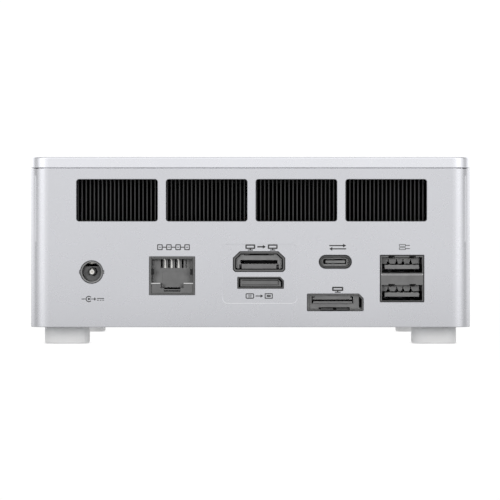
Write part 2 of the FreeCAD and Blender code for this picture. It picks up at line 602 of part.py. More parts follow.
# fine grooves that outline the contact slot
gx0, gx1 = SL[0] + 1.6, SL[1] - 1.4
core = cut(core, box(gx0, gx1, 60.2, 64, 18.68, 18.86), box(gx0, gx1, 60.2, 64, 17.36, 17.52),
           box(gx0, gx0 + 0.16, 60.2, 64, 17.4, 18.8))
save("expansion_core", core)


def type_c(cx, cz, y_face, sign, name):
    """Small oval socket. sign is +1 when it opens to the rear."""
    def yy(a, b):
        p, q = y_face - sign * a, y_face - sign * b
        return (min(p, q), max(p, q))
    w, h = TC_W / 2 - LINE, TC_H / 2 - LINE
    a, b = yy(0.0, 2.4)
    shell = rr("Y", cx - w, cx + w, cz - h, cz + h, a, b, h - 0.005)
    a, b = yy(1.5, 10.6)
    shell = fuse(shell, rr("Y", cx - 4.47, cx + 4.47, cz - 1.6, cz + 1.6, a, b, 1.59))
    a, b = yy(-1.0, 10.2)
    shell = cut(shell, rr("Y", cx - 4.17, cx + 4.17, cz - 1.28, cz + 1.28, a, b, 1.27))
    shell = shell.makeChamfer(0.12, edges_in(shell, x=(cx - 4.3, cx + 4.3), y=(y_face, y_face), z=(cz - 1.35, cz + 1.35)))
    a, b = yy(5.8, 7.6)
    shell = fuse(shell, box(cx - 3.9, cx - 3.3, a, b, cz + 1.4, BOARD_Z0), box(cx + 3.3, cx + 3.9, a, b, cz + 1.4, BOARD_Z0))
    save(name + "_shell", shell)
    a, b = yy(6.1, 10.2)
    core = rr("Y", cx - 4.15, cx + 4.15, cz - 1.26, cz + 1.26, a, b, 1.24)
    a, b = yy(5.0, 9.7)
    core = cut(core, rr("Y", cx - 3.48, cx + 3.48, cz - 0.74, cz + 0.74, a, b, 0.5))
    a, b = yy(1.0, 10.0)
    core = fuse(core, rr("Y", cx - 2.9, cx + 2.9, cz - 0.37, cz + 0.37, a, b, 0.3))
    save(name + "_core", core)


type_c(TC_X, TC_Z, PORT_Y, 1, "type_c_rear")

# Narrow video socket
shell = cut(prism("Y", inset(VB_OUT, 0.14), 50.2, PORT_Y, 0.25), prism("Y", inset(VB_OUT, 0.42), 50.5, 64, 0.2))
cx0, cx1 = -29.2, -20.6
shell = cut(shell, box(cx0, cx1, 54.5, 64.0, VB[2] - 0.2, VB[2] + 0.5),
            box(-30.4, -18.2, 50.0, 51.0, 11.0, 13.9))
sp = []
for a, b in ((cx0 + 0.2, (cx0 + cx1) / 2 - 0.5), ((cx0 + cx1) / 2 + 0.5, cx1 - 0.2)):
    sp.append(prism("X", [(54.2, VB[2] + 0.1), (54.2, VB[2] + 0.4), (58.6, VB[2] + 0.85), (60.6, VB[2] + 0.55),
                          (60.6, VB[2] + 0.3), (58.6, VB[2] + 0.58)], a, b))
legs = [box(x - 0.4, x + 0.4, 53.0, 55.0, VB[3] - 0.35, 23.0) for x in (-19.0, -30.0)]
save("video_b_shell", fuse(shell, *sp, *legs))
core = prism("Y", inset(VB_OUT, 0.45), 50.5, 57.4, 0.15)
# slot for the plug's blade with stepped upper corners, and the keyed end pocket
core = cut(core, box(-30.42, -18.1, 50.0, 58, 11.92, 13.92),
           box(-32.98, -32.1, 50.6, 58, 10.6, 13.0), box(-32.75, -32.1, 50.6, 58, 12.9, 13.7),
           box(-29.4, -20.2, 52.6, 58, VB[2] + 0.3, VB[2] + 0.95))
core = fuse(core, box(-30.06, -18.47, 51.5, 57.4, 13.05, 13.58), box(-29.5, -19.02, 51.5, 57.4, 13.05, 14.0),
            box(-30.0, -18.55, 50.6, 61.4, 12.02, 12.62))
core = cut(core, *[box(-29.6 + i * 1.13, -29.25 + i * 1.13, 52.8, 61.0, 12.52, 12.8) for i in range(10)])
# foot of the blade, joined to the end wall of the shell
core = fuse(core, box(-28.9, -19.6, 50.5, 51.6, 11.6, 14.1))
save("video_b_core", core)

# Stacked pair of wide serial sockets
c = TA_CUT
TA_CAV = ((20.98, 25.72), (12.82, 17.46))
shell = box(c[0] + LINE, c[1] - LINE, 45.3, PORT_Y, c[2] + LINE, c[3] - LINE)
tools = []
for z0, z1 in TA_CAV:
    tools.append(box(TA_X - 6.0, TA_X + 6.0, 45.6, 64, z0, z1))
    for s in (1, -1):
        xs = TA_X + s * 3.1
        tools.append(box(xs - 0.95, xs + 0.95, 53.5, 63.0, z1 - 0.05, z1 + 0.3))
        tools.append(box(xs - 0.95, xs + 0.95, 53.5, 61.9, z0 - 0.34, z0 + 0.05))
    # the tongue pocket stays open at the back
    tools.append(box(TA_X - 5.9, TA_X + 5.9, 45.0, 46.0, z0 + 0.2, z1 - 0.3))
shell = cut(shell, *tools)
sp = []
for z0, z1 in TA_CAV:
    for s in (1, -1):
        xs = TA_X + s * 3.1
        sp.append(prism("X", [(53.3, z1 + 0.28), (53.3, z1 + 0.05), (58.6, z1 - 0.42), (60.6, z1 - 0.05), (60.5, z1 + 0.12), (58.6, z1 - 0.2)],
                        xs - 0.6, xs + 0.6))
        sp.append(prism("X", [(53.3, z0 - 0.3), (53.3, z0 - 0.05), (58.6, z0 + 0.42), (60.6, z0 + 0.05), (60.5, z0 - 0.12), (58.6, z0 + 0.2)],
                        xs - 0.6, xs + 0.6))
legs = [box(x - 0.3, x + 0.3, 48.0, 50.0, 25.9, BOARD_Z0) for x in (TA_X - 5.9, TA_X + 5.9)]
# rolled edge along the top of the bridge between the two openings
roll = prism("X", [(PORT_Y - 0.6, 20.98), (PORT_Y - 0.02, 20.86), (PORT_Y + 0.16, 20.62), (PORT_Y + 0.16, 20.46), (PORT_Y - 0.02, 20.36),
                   (PORT_Y - 0.6, 20.36)], TA_X - 6.0, TA_X + 6.0)
shell = fuse(shell, *sp, *legs, roll)
save("type_a_stack_shell", shell)
cores, pads = [], []
NOTCH_X = (-3.65, -1.1, 0.75, 3.05)
for z0, z1 in TA_CAV:
    t0 = z0 + 1.18
    # end wall, clear of the shell at both sides; wide pocket under and beside the tongue
    core = box(TA_X - 5.55, TA_X + 5.75, 46.4, 51.6, z0 + 0.04, z1 - 0.04)
    core = cut(core, box(TA_X - 7, TA_X + 7, 46.0, 52, z0 - 1, t0 + 1.42))
    core = fuse(core, box(TA_X - 5.98, TA_X + 5.98, 46.0, 47.0, t0 + 1.42, z1 - 0.04),
                box(TA_X - 5.05, TA_X + 5.05, 46.0, 47.0, t0 + 0.6, t0 + 1.5),
                box(TA_X - 5.05, TA_X + 5.05, 46.2, 61.3, t0, t0 + 1.17))
    tools = []
    for x in NOTCH_X:
        k = TA_X - x
        tools.append(prism("Y", [(k - 0.48, t0 + 1.3), (k + 0.48, t0 + 1.3), (k + 0.4, t0 + 1.75), (k + 0.14, t0 + 2.2),
                                 (k + 0.14, t0 + 2.75), (k - 0.14, t0 + 2.75), (k - 0.14, t0 + 2.2), (k - 0.4, t0 + 1.75)], 45.5, 52))
        tools.append(box(k - 0.42, k + 0.42, 51.6, 60.4, t0 + 1.04, t0 + 1.3))
        pads.append(box(k - 0.38, k + 0.38, 51.7, 60.2, t0 + 1.04, t0 + 1.2))
    cores.append(cut(core, *tools))
save("type_a_stack_core", group(cores))
save("type_a_stack_contacts", group(pads))

# ---------------------------------------------------------------------------
# Front connectors and the power button
# ---------------------------------------------------------------------------
FY = -62.7
shells, cores = [], []
for cx in FRONT_TA_X:
    s = box(cx - 6.55, cx + 6.55, FY, -48.8, FRONT_Z - 2.85, FRONT_Z + 2.85)
    s = cut(s, box(cx - 6.15, cx + 6.15, -64, -49.1, FRONT_Z - 2.45, FRONT_Z + 2.45))
    s = fuse(s, box(cx - 6.2, cx - 5.6, -53, -51, FRONT_Z + 2.7, BOARD_Z0), box(cx + 5.6, cx + 6.2, -53, -51, FRONT_Z + 2.7, BOARD_Z0))
    shells.append(s)
    core = box(cx - 6.1, cx + 6.1, -51.6, -49.1, FRONT_Z - 2.4, FRONT_Z + 2.4)
    core = fuse(core, box(cx - 5.2, cx + 5.2, -61.2, -51.0, FRONT_Z - 1.5, FRONT_Z + 0.2))
    cores.append(core)
save("front_type_a_shells", group(shells))
save("front_type_a_cores", group(cores))
type_c(FRONT_TC_X, FRONT_Z, FY, -1, "type_c_front")
aj = fuse(cyl("Y", AUDIO_X, FRONT_Z, FY, -59.5, 2.92), box(AUDIO_X - 3.3, AUDIO_X + 3.3, -60.3, -48.5, FRONT_Z - 3.0, BOARD_Z0))
aj = cut(aj, cyl("Y", AUDIO_X, FRONT_Z, -64, -49.2, AUDIO_R))
save("audio_jack", aj)

cap = fuse(cyl("Y", BTN_X, BTN_Z, -62.9, -60.6, BTN_R), cyl("Y", BTN_X, BTN_Z, -60.93, -60.35, 5.4),
           cyl("Y", BTN_X, BTN_Z, -60.5, -58.6, 1.4))
cap = cap.makeFillet(0.3, edges_in(cap, y=(-62.9, -62.9)))
# shallow finger dish
cap = cut(cap, Part.makeSphere(30.0, V(BTN_X, -62.9 - 29.75, BTN_Z)))
save("power_button_cap", cap)
ring = cut(cyl("Y", BTN_X, BTN_Z, -62.95, -61.0, 5.58), cyl("Y", BTN_X, BTN_Z, -64, -60, 4.8))
save("power_light_ring", ring)
sw = box(BTN_X - 3.2, BTN_X + 3.2, -57.3, -53.5, 20.9, BOARD_Z0)
sw = cut(sw, cyl("Y", BTN_X, BTN_Z, -58.0, -55.9, 1.15))
save("power_switch_body", sw)
save("power_switch_plunger", cyl("Y", BTN_X, BTN_Z, -58.6, -56.7, 1.0))

# ---------------------------------------------------------------------------
# Board and what it carries
# ---------------------------------------------------------------------------
BZ1 = BOARD_Z0 + BOARD_T
board = rr("Z", -BOARD_X, BOARD_X, BOARD_Y0, BOARD_Y1, BOARD_Z0, BZ1, 2.0)
board = cut(board, *[cyl("Z", sx * FOOT_X, sy * FOOT_Y, 27, 30, 1.6) for sx in (1, -1) for sy in (1, -1)],
            *[cyl("Z", x, y, 27, 30, 1.35) for x in (-25.0, 25.0) for y in (-9.0, 29.0)])
save("motherboard", board)
save("board_screws", group([cross_screw_down(sx * FOOT_X, sy * FOOT_Y, 23.0, BZ1, BZ1 + 1.4, 2.5, 1.25)
                            for sx in (1, -1) for sy in (1, -1)]))
CPU_Y = 10.0
save("processor_package", fuse(rr("Z", -12.5, 12.5, CPU_Y - 17.5, CPU_Y + 17.5, BZ1, BZ1 + 1.2, 0.5),
                               box(-6.0, 6.0, CPU_Y - 9.0, CPU_Y + 9.0, BZ1 + 1.2, BZ1 + 1.9)))
ind = []
for i in range(7):
    y = -12.0 + i * 8.2
    ind.append(rr("Z", -42.5, -35.5, y, y + 7.0, BZ1, BZ1 + 3.4, 0.8))
caps = []
for i, (x, y) in enumerate([(-49, -4), (-49, 4), (-49, 12), (-49, 20), (-49, 28), (49, -40), (42, -40), (49, 30), (49, 38)]):
    k = cyl("Z", x, y, BZ1 + 0.4, BZ1 + 5.4, 2.5)
    caps.append(fuse(k, rr("Z", x - 2.65, x + 2.65, y - 2.65, y + 2.65, BZ1, BZ1 + 0.6, 0.5)))
save("power_stage_parts", group(ind + caps))
chips = []
for x, y, w, h, t in ((46, 8, 12, 12, 1.0), (45, -3.5, 9, 9, 0.9), (30, -48, 7, 7, 0.9), (-20, -50, 10, 10, 0.9),
                      (-45, -38, 8, 8, 0.9), (12, -48, 5, 6, 1.4), (-2, -52, 5, 4, 1.2), (-38, -46, 4.4, 7, 1.3),
                      (52, 20, 5, 5, 0.9)):
    chips.append(rr("Z", x - w / 2, x + w / 2, y - h / 2, y + h / 2, BZ1, BZ1 + t, 0.3))
# small white header that takes the blower's lead
chips.append(cut(box(50.5, 56.5, -17.8, -10.8, BZ1, BZ1 + 4.6), box(51.3, 55.7, -17.0, -11.6, BZ1 + 1.2, BZ1 + 5.0)))
save("board_components", group(chips))
save("backup_battery", fuse(cyl("Z", -48.6, -31.0, 23.7, 26.9, 10.0), box(-51.0, -46.0, -34.0, -28.0, 26.8, BOARD_Z0)))

# memory: double-height socket with two modules
msock = fuse(box(-37.0, 37.0, -47.0, -41.5, 18.6, BOARD_Z0),
             box(-37.0, -34.6, -47.0, -27.0, 18.6, BOARD_Z0), box(34.6, 37.0, -47.0, -27.0, 18.6, BOARD_Z0))
msock = cut(msock, box(-34.2, 34.2, -43.5, -40, 20.0, 21.3), box(-34.2, 34.2, -43.5, -40, 24.2, 25.5))
save("memory_socket", msock)
mods = []
for z in (20.1, 24.3):
    m = box(-33.8, 33.8, -43.3, -13.4, z, z + 1.1)
    m = cut(m, box(-1.5, 0.0, -44, -41.4, z - 1, z + 2))
    m = fuse(m, *[rr("Z", -28.0 + i * 15.0, -17.5 + i * 15.0, -33.0, -20.0, z - 0.9, z + 0.1, 0.3) for i in range(4)])
    mods.append(m)
save("memory_modules", group(mods))

# storage drives, their sockets, screws and heat plate
SSD_Y = (-10.0, 14.0)
socks, ssds, sscr = [], [], []
for y in SSD_Y:
    s = cut(box(35.0, 41.0, y, y + 22.0, 23.2, BOARD_Z0), box(34, 38.5, y - 1, y + 23, 24.3, 25.3))
    socks.append(s)
    d = box(-43.5, 36.5, y + 0.1, y + 21.9, 24.4, 25.2)
    d = cut(d, cyl("Z", -43.5, y + 11.0, 24, 26, 1.8))
    d = fuse(d, rr("Z", 6.0, 22.0, y + 4, y + 18, 23.1, 24.5, 0.3), rr("Z", -14.0, 2.0, y + 4, y + 18, 23.1, 24.5, 0.3),
             rr("Z", -34.0, -18.0, y + 4, y + 18, 23.1, 24.5, 0.3))
    ssds.append(d)
    # standoff and screw in one hexagon-headed stud each
    sscr.append(fuse(cyl("Z", -43.5, y + 11.0, 22.9, 24.4, 2.6), cyl("Z", -43.5, y + 11.0, 24.3, 25.3, 1.7),
                     cyl("Z", -43.5, y + 11.0, 25.2, BOARD_Z0, 2.6)))
save("drive_sockets", group(socks))
save("drive_modules", group(ssds))
save("drive_screws", group(sscr))
plate = fuse(rr("Z", -39.0, 33.0, -10.0, 36.0, 20.9, 22.1, 1.5),
             *[box(-36.0, 24.0, y + 3, y + 19, 22.0, 23.1) for y in SSD_Y])
save("drive_heat_plate", plate)
wl = fuse(box(37.5, 59.3, -46.0, -18.0, 25.0, 25.8), rr("Z", 39.5, 57.3, -38.0, -22.0, 23.6, 25.1, 0.5),
          box(38.5, 58.3, -47.0, -44.0, 24.2, BOARD_Z0))
save("wireless_card", wl)

# ---------------------------------------------------------------------------
# Cooling
# ---------------------------------------------------------------------------
CP_Z0, CP_Z1 = BZ1 + 1.9, BZ1 + 1.9 + 1.9
plate = rr("Z", -19.0, 19.0, -12.0, 32.0, CP_Z0, CP_Z1, 1.5)
arms = []
for x in (-25.0, 25.0):
    for y in (-9.0, 29.0):
        a, b = sorted((math.copysign(17.0, x), x))
        arms.append(box(a, b, y - 2.4, y + 2.4, CP_Z0 + 0.6, CP_Z0 + 1.5))
        arms.append(cyl("Z", x, y, CP_Z0 + 0.6, CP_Z0 + 1.5, 3.0))
plate = fuse(plate, *arms)
plate = cut(plate, *[cyl("Z", x, y, 29, 36, 1.35) for x in (-25.0, 25.0) for y in (-9.0, 29.0)])
save("cold_plate", plate)
save("cooler_screws", group([fuse(cross_screw_down(x, y, 25.9, CP_Z0 + 1.5, CP_Z0 + 3.2, 2.4, 1.25))
                             for x in (-25.0, 25.0) for y in (-9.0, 29.0)]))
HP0, HP1 = CP_Z1, FIN_Z0
pipes = []
for s in (1, -1):
    p = ribbon("Z", [(s * 8.0, -11.0), (s * 8.0, 49.5), (s * 50.0, 49.5)], 12.0, 8.0, HP0, HP1)
    pipes.append(p)
pipes = [p.makeFillet(0.9, [e for e in p.Edges if abs(e.BoundBox.ZMax - e.BoundBox.ZMin) < 1e-6]) for p in pipes]
save("heat_pipes", group(pipes))

x_half = FIN_COUNT * FIN_PITCH / 2
fins = [box(-x_half, x_half, FIN_Y0, FIN_Y1, FIN_Z0, FIN_Z0 + 0.4),
        box(-x_half, x_half, FIN_Y0, FIN_Y1, FIN_Z1 - 0.3, FIN_Z1)]
for i in range(FIN_COUNT):
    x = -x_half + (i + 0.5) * FIN_PITCH
    fins.append(box(x - FIN_T / 2, x + FIN_T / 2, FIN_Y0, FIN_Y1, FIN_Z0 + 0.2, FIN_Z1 - 0.1))
save("fin_stack", fins[0].multiFuse(fins[1:]).removeSplitter())

BL = [(-50.0, 43.9), (-50.0, 33.0), (-37.0, 12.0), (-35.0, -14.0), (-24.0, -30.0), (0.0, -37.5), (24.0, -31.0),
      (35.5, -14.0), (39.5, 10.0), (50.0, 31.0), (50.0, 43.9)]
BL = BL[::1]
area = sum(BL[i - 1][0] * BL[i][1] - BL[i][0] * BL[i - 1][1] for i in range(len(BL)))
if area < 0:
    BL = BL[::-1]
RAD = [0.0 if abs(p[1] - 43.9) < 1e-6 else 9.0 for p in BL]
RADI = [0.0 if abs(p[1] - 43.9) < 1e-6 else 7.8 for p in BL]
B0, B1 = 35.7, 48.6
out = prism("Z", BL, B0, B1 - 0.9, RAD)
inner = prism("Z", inset(BL, 1.2), B0 + 0.8, B1, RADI)
house = cut(out, inner, box(-48.8, 48.8, 42.0, 44.5, B0 + 0.8, B1))
ears = [(-45.0, -24.0), (45.0, -24.0), (0.0, -44.5)]
adds = []
for x, y in ears:
    adds.append(cyl("Z", x, y, BZ1, B0 + 1.2, 3.0))
    l = math.hypot(x - BLOWER_X, y - BLOWER_Y)
    ux, uy = (x - BLOWER_X) / l, (y - BLOWER_Y) / l
    k = 30.5 if y < -40 else 36.0
    adds.append(prism("Z", [(x - uy * 2.4, y + ux * 2.4), (x + uy * 2.4, y - ux * 2.4),
                            (BLOWER_X + ux * k + uy * 2.4, BLOWER_Y + uy * k - ux * 2.4),
                            (BLOWER_X + ux * k - uy * 2.4, BLOWER_Y + uy * k + ux * 2.4)][::-1], B0, B0 + 1.2))
house = fuse(house, *adds)
house = cut(house, inner, *[cyl("Z", x, y, BZ1 + 1.5, B0 + 3, 1.0) for x, y in ears])
house = fuse(house, cyl("Z", BLOWER_X, BLOWER_Y, B0, B0 + 1.3, 10.0))
save("blower_housing", house)
save("blower_screws", group([cross_screw_down(x, y, 32.0, B0 + 1.2, B0 + 2.4, 2.1, 1.0) for x, y in ears]))
cover = prism("Z", BL, B1 - 0.9, B1, RAD)
cover = cut(cover, cyl("Z", BLOWER_X, BLOWER_Y, B1 - 2, B1 + 1, 21.0))
cover = fuse(cover, cut(cyl("Z", BLOWER_X, BLOWER_Y, B1 - 0.9, B1 + 0.5, 22.2), cyl("Z", BLOWER_X, BLOWER_Y, B1 - 2, B1 + 2, 21.0)))
save("blower_cover", cover)
stator = fuse(cyl("Z", BLOWER_X, BLOWER_Y, B0 + 1.3, 38.0, 9.0), cyl("Z", BLOWER_X, BLOWER_Y, 38.0, 43.5, 3.0))
for i in range(6):
    a = i * math.pi / 3
    arm = Part.makeBox(7.0, 2.0, 4.2, V(2.0, -1.0, 38.6))
    tip = cut(cyl("Z", 0, 0, 38.6, 42.8, 9.4), cyl("Z", 0, 0, 38, 43, 8.2))
    wedge = prism("Z", [(0, 0), (11, -3.6), (11, 3.6)], 38, 44)
    tip = tip.common(wedge)
    t = arm.fuse(tip)
    t.rotate(V(0, 0, 0), V(0, 0, 1), math.degrees(a))
    t.translate(V(BLOWER_X, BLOWER_Y, 0))
    stator = stator.fuse(t)
stator = cut(stator, cyl("Z", BLOWER_X, BLOWER_Y, 38.0, 44, 1.03))
save("blower_stator", stator.removeSplitter())


def blade_profile(r0, r1, sweep_deg, thick, n=6):
    """Backward-curved blade seen from above."""
    left, right = [], []
    for i in range(n):
        t = i / (n - 1.0)
        r = r0 + (r1 - r0) * t
        a = math.radians(sweep_deg) * (t ** 1.25)
        da = thick / 2 / r * 1.25
        left.append((r * math.cos(a + da), r * math.sin(a + da)))
        right.append((r * math.cos(a - da), r * math.sin(a - da)))
    return right + left[::-1]


rotor = [cut(cyl("Z", 0, 0, 38.2, 46.6, 11.8), cyl("Z", 0, 0, 38, 45.4, 10.4)),
         cyl("Z", 0, 0, 38.6, 46.0, 1.0),
         cut(cyl("Z", 0, 0, 41.6, 42.4, 20.0), cyl("Z", 0, 0, 41, 43, 11.0)),
         cut(cyl("Z", 0, 0, 46.0, 46.8, IMPELLER_R), cyl("Z", 0, 0, 45, 47, IMPELLER_R - 1.2))]
prof = blade_profile(17.5, IMPELLER_R - 0.15, -16.0, 0.7)
for i in range(BLADES):
    b = prism("Z", prof, 38.2, 46.5)
    b.rotate(V(0, 0, 0), V(0, 0, 1), i * 360.0 / BLADES)
    rotor.append(b)
rot = rotor[0].multiFuse(rotor[1:]).removeSplitter()
rot.translate(V(BLOWER_X, BLOWER_Y, 0))
save("blower_rotor", rot)
# flat lead from the blower to its header
lead = ribbon("Y", [(36.4, 37.4), (53.5, 37.4), (53.5, 30.4)], 3.0, 1.0, -16.0, -12.6)
save("blower_lead", lead)

# storage fan on the bottom cover
fr = rr("Z", -SFAN / 2, SFAN / 2, -SFAN / 2, SFAN / 2, SFAN_Z0, SFAN_Z1, 2.5)
fr = cut(fr, cyl("Z", 0, 0, SFAN_Z0 - 1, SFAN_Z1 + 1, 23.4))
spokes = [box(-23.9, 23.9, -1.1, 1.1, SFAN_Z1 - 1.2, SFAN_Z1), box(-1.1, 1.1, -23.9, 23.9, SFAN_Z1 - 1.2, SFAN_Z1),
          cyl("Z", 0, 0, SFAN_Z1 - 1.2, SFAN_Z1, 10.5), cyl("Z", 0, 0, SFAN_Z0 + 3.0, SFAN_Z1 - 1.0, 3.0)]
fr = fuse(fr, *spokes)
fr = cut(fr, *[cyl("Z", sx * 21.0, sy * 21.0, SFAN_Z0 - 1, SFAN_Z1 + 1, 1.3) for sx in (1, -1) for sy in (1, -1)],
         cyl("Z", 0, 0, SFAN_Z0, SFAN_Z1 - 1.0, 1.03))
save("storage_fan_frame", fr)
parts = [cut(cyl("Z", 0, 0, SFAN_Z0 + 0.5, SFAN_Z1 - 1.7, 10.6), cyl("Z", 0, 0, SFAN_Z0 + 1.5, SFAN_Z1, 9.6)),
         cyl("Z", 0, 0, SFAN_Z0 + 1.2, SFAN_Z1 - 1.8, 1.0)]
clip = cut(cyl("Z", 0, 0, SFAN_Z0 + 0.4, SFAN_Z1 - 1.7, SFAN_R), cyl("Z", 0, 0, 0, 30, 10.1))
for i in range(7):
    b = Part.makeBox(16.0, 9.4, 0.9, V(8.5, -4.7, -0.45))
    b.rotate(V(0, 0, 0), V(1, 0, 0), 38.0)
    b.translate(V(0, 0, (SFAN_Z0 + SFAN_Z1) / 2 - 0.7))
    b.rotate(V(0, 0, 0), V(0, 0, 1), i * 360.0 / 7)
    parts.append(b.common(clip))
save("storage_fan_rotor", parts[0].multiFuse(parts[1:]).removeSplitter())

# ---------------------------------------------------------------------------
os.makedirs("parts", exist_ok=True)
for old in os.listdir("parts"):
    if old.endswith(".step") and old[:-5] not in PARTS:
        os.remove(os.path.join("parts", old))
for name, shape in PARTS.items():
    solids = shape.Solids
    bad = [s for s in solids if not s.isValid()]
    if len(solids) == 1:
        shape = solids[0]
    else:
        shape = Part.makeCompound(solids)
    shape.exportStep(os.path.join("parts", name + ".step"))
    b = shape.BoundBox
    print("%-24s solids %2d vol %10.2f  x %7.2f %7.2f  y %7.2f %7.2f  z %6.2f %6.2f%s" % (
        name, len(solids), shape.Volume, b.XMin, b.XMax, b.YMin, b.YMax, b.ZMin, b.ZMax,
        "  INVALID" if bad else ""))
print("nodes", len(PARTS))
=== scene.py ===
import bpy, bmesh, json, math, random
from mathutils import Vector, Matrix


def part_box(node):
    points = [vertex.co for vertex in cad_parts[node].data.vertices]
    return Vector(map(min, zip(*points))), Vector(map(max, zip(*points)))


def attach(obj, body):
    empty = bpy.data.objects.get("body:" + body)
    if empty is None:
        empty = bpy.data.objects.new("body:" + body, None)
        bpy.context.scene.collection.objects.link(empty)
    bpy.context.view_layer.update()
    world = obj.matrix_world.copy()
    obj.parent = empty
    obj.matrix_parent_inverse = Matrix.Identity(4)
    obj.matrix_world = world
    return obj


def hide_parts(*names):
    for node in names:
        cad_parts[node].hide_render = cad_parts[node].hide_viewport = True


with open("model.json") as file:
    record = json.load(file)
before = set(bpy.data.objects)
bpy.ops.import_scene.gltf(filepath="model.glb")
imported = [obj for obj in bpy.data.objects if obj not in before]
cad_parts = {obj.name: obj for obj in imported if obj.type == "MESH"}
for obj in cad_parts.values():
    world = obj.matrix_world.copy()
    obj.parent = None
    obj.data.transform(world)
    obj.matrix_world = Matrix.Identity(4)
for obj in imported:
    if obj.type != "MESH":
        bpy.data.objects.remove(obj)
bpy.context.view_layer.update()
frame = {"nodes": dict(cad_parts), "record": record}
nodes = frame["nodes"]
scene = bpy.context.scene
MM = 0.001
random.seed(7)

# ---------------------------------------------------------------------------
# camera: the rear panel seen square on, from about a metre away
# ---------------------------------------------------------------------------
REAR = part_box("main_housing")[1][1]
cam_data = bpy.data.cameras.new("camera")
cam = bpy.data.objects.new("camera", cam_data)
scene.collection.objects.link(cam)
cam_data.sensor_width = 36.0
cam_data.lens = 233.2
cam_data.clip_start, cam_data.clip_end = 0.05, 20.0
cam.location = (0.000147, REAR + 0.954, 0.036)
cam.rotation_euler = (math.radians(90.0 - 0.495), 0.0, math.radians(180.0))
scene.camera = cam

# ---------------------------------------------------------------------------
# node helpers
# ---------------------------------------------------------------------------
class Mat:
    """A procedural material: one Principled shader fed by noise in object space."""

    def __init__(self, name, rough=0.5, metal=0.0, color=(0.5, 0.5, 0.5), **sockets):
        self.m = bpy.data.materials.new(name)
        self.m.use_nodes = True
        self.nt = self.m.node_tree
        self.nt.nodes.clear()
        self.out = self.nt.nodes.new("ShaderNodeOutputMaterial")
        self.b = self.nt.nodes.new("ShaderNodeBsdfPrincipled")
        self.nt.links.new(self.b.outputs[0], self.out.inputs[0])
        self.b.inputs["Base Color"].default_value = (*color, 1.0)
        self.b.inputs["Roughness"].default_value = rough
        self.b.inputs["Metallic"].default_value = metal
        for k, v in sockets.items():
            self.b.inputs[k.replace("_", " ")].default_value = v
        self.tc = self.nt.nodes.new("ShaderNodeTexCoord")
        self.height = None

    def coords(self, scale=(1, 1, 1)):
        mp = self.nt.nodes.new("ShaderNodeMapping")
        mp.inputs["Scale"].default_value = scale
        self.nt.links.new(self.tc.outputs["Object"], mp.inputs["Vector"])
        return mp.outputs[0]

    def noise(self, scale, detail=2.0, rough=0.5, stretch=(1, 1, 1)):
        n = self.nt.nodes.new("ShaderNodeTexNoise")
        n.inputs["Scale"].default_value = scale
        n.inputs["Detail"].default_value = detail
        n.inputs["Roughness"].default_value = rough
        self.nt.links.new(self.coords(stretch), n.inputs["Vector"])
        return n.outputs[0]

    def voronoi(self, scale, stretch=(1, 1, 1)):
        n = self.nt.nodes.new("ShaderNodeTexVoronoi")
        n.inputs["Scale"].default_value = scale
        self.nt.links.new(self.coords(stretch), n.inputs["Vector"])
        return n.outputs["Distance"]

    def ramp(self, src, stops):
        r = self.nt.nodes.new("ShaderNodeValToRGB")
        els = r.color_ramp.elements
        while len(els) < len(stops):
            els.new(0.5)
        for e, (p, c) in zip(els, stops):
            e.position = p
            e.color = (*c, 1.0) if len(c) == 3 else c
        self.nt.links.new(src, r.inputs[0])
        return r.outputs[0]

    def depth(self, stops, tint=(1.0, 1.0, 1.0), noise_scale=500.0):
        """Colour along the socket, painted with its light and shade: stops are (|y| in mm, value), low where the
        socket lies deep in shade, higher on faces painted as lit; a fine mottle goes over it.
        """
        nt = self.nt
        sx = nt.nodes.new("ShaderNodeSeparateXYZ")
        nt.links.new(self.tc.outputs["Object"], sx.inputs[0])
        ab = nt.nodes.new("ShaderNodeMath")
        ab.operation = "ABSOLUTE"
        nt.links.new(sx.outputs["Y"], ab.inputs[0])
        m = nt.nodes.new("ShaderNodeMapRange")
        m.inputs["From Min"].default_value = 0.044
        m.inputs["From Max"].default_value = 0.064
        nt.links.new(ab.outputs[0], m.inputs[0])
        base = self.ramp(m.outputs[0], [((y - 44.0) / 20.0, grey(v, tint)) for y, v in sorted(stops)])
        mott = self.ramp(self.noise(noise_scale, 2.0), [(0.3, grey(0.92)), (0.7, grey(1.08))])
        mx = nt.nodes.new("ShaderNodeMix")
        mx.data_type = "RGBA"
        mx.blend_type = "MULTIPLY"
        mx.inputs[0].default_value = 1.0
        nt.links.new(base, mx.inputs[6])
        nt.links.new(mott, mx.inputs[7])
        nt.links.new(mx.outputs[2], self.b.inputs["Base Color"])

    def vary_color(self, src, a, b, lo=0.3, hi=0.7):
        self.nt.links.new(self.ramp(src, [(lo, a), (hi, b)]), self.b.inputs["Base Color"])

    def vary_rough(self, src, a, b, lo=0.3, hi=0.7):
        m = self.nt.nodes.new("ShaderNodeMapRange")
        m.inputs["From Min"].default_value = lo
        m.inputs["From Max"].default_value = hi
        m.inputs["To Min"].default_value = a
        m.inputs["To Max"].default_value = b
        self.nt.links.new(src, m.inputs[0])
        self.nt.links.new(m.outputs[0], self.b.inputs["Roughness"])

    def bump(self, src, strength, distance):
        bp = self.nt.nodes.new("ShaderNodeBump")
        bp.inputs["Strength"].default_value = strength
        bp.inputs["Distance"].default_value = distance
        self.nt.links.new(src, bp.inputs["Height"])
        if self.height is not None:
            self.nt.links.new(self.height, bp.inputs["Normal"])
        self.height = bp.outputs[0]
        self.nt.links.new(self.height, self.b.inputs["Normal"])


def grey(v, tint=(1.0, 1.0, 1.0)):
    return tuple(v * t for t in tint)


COOL = (0.982, 0.990, 1.034)

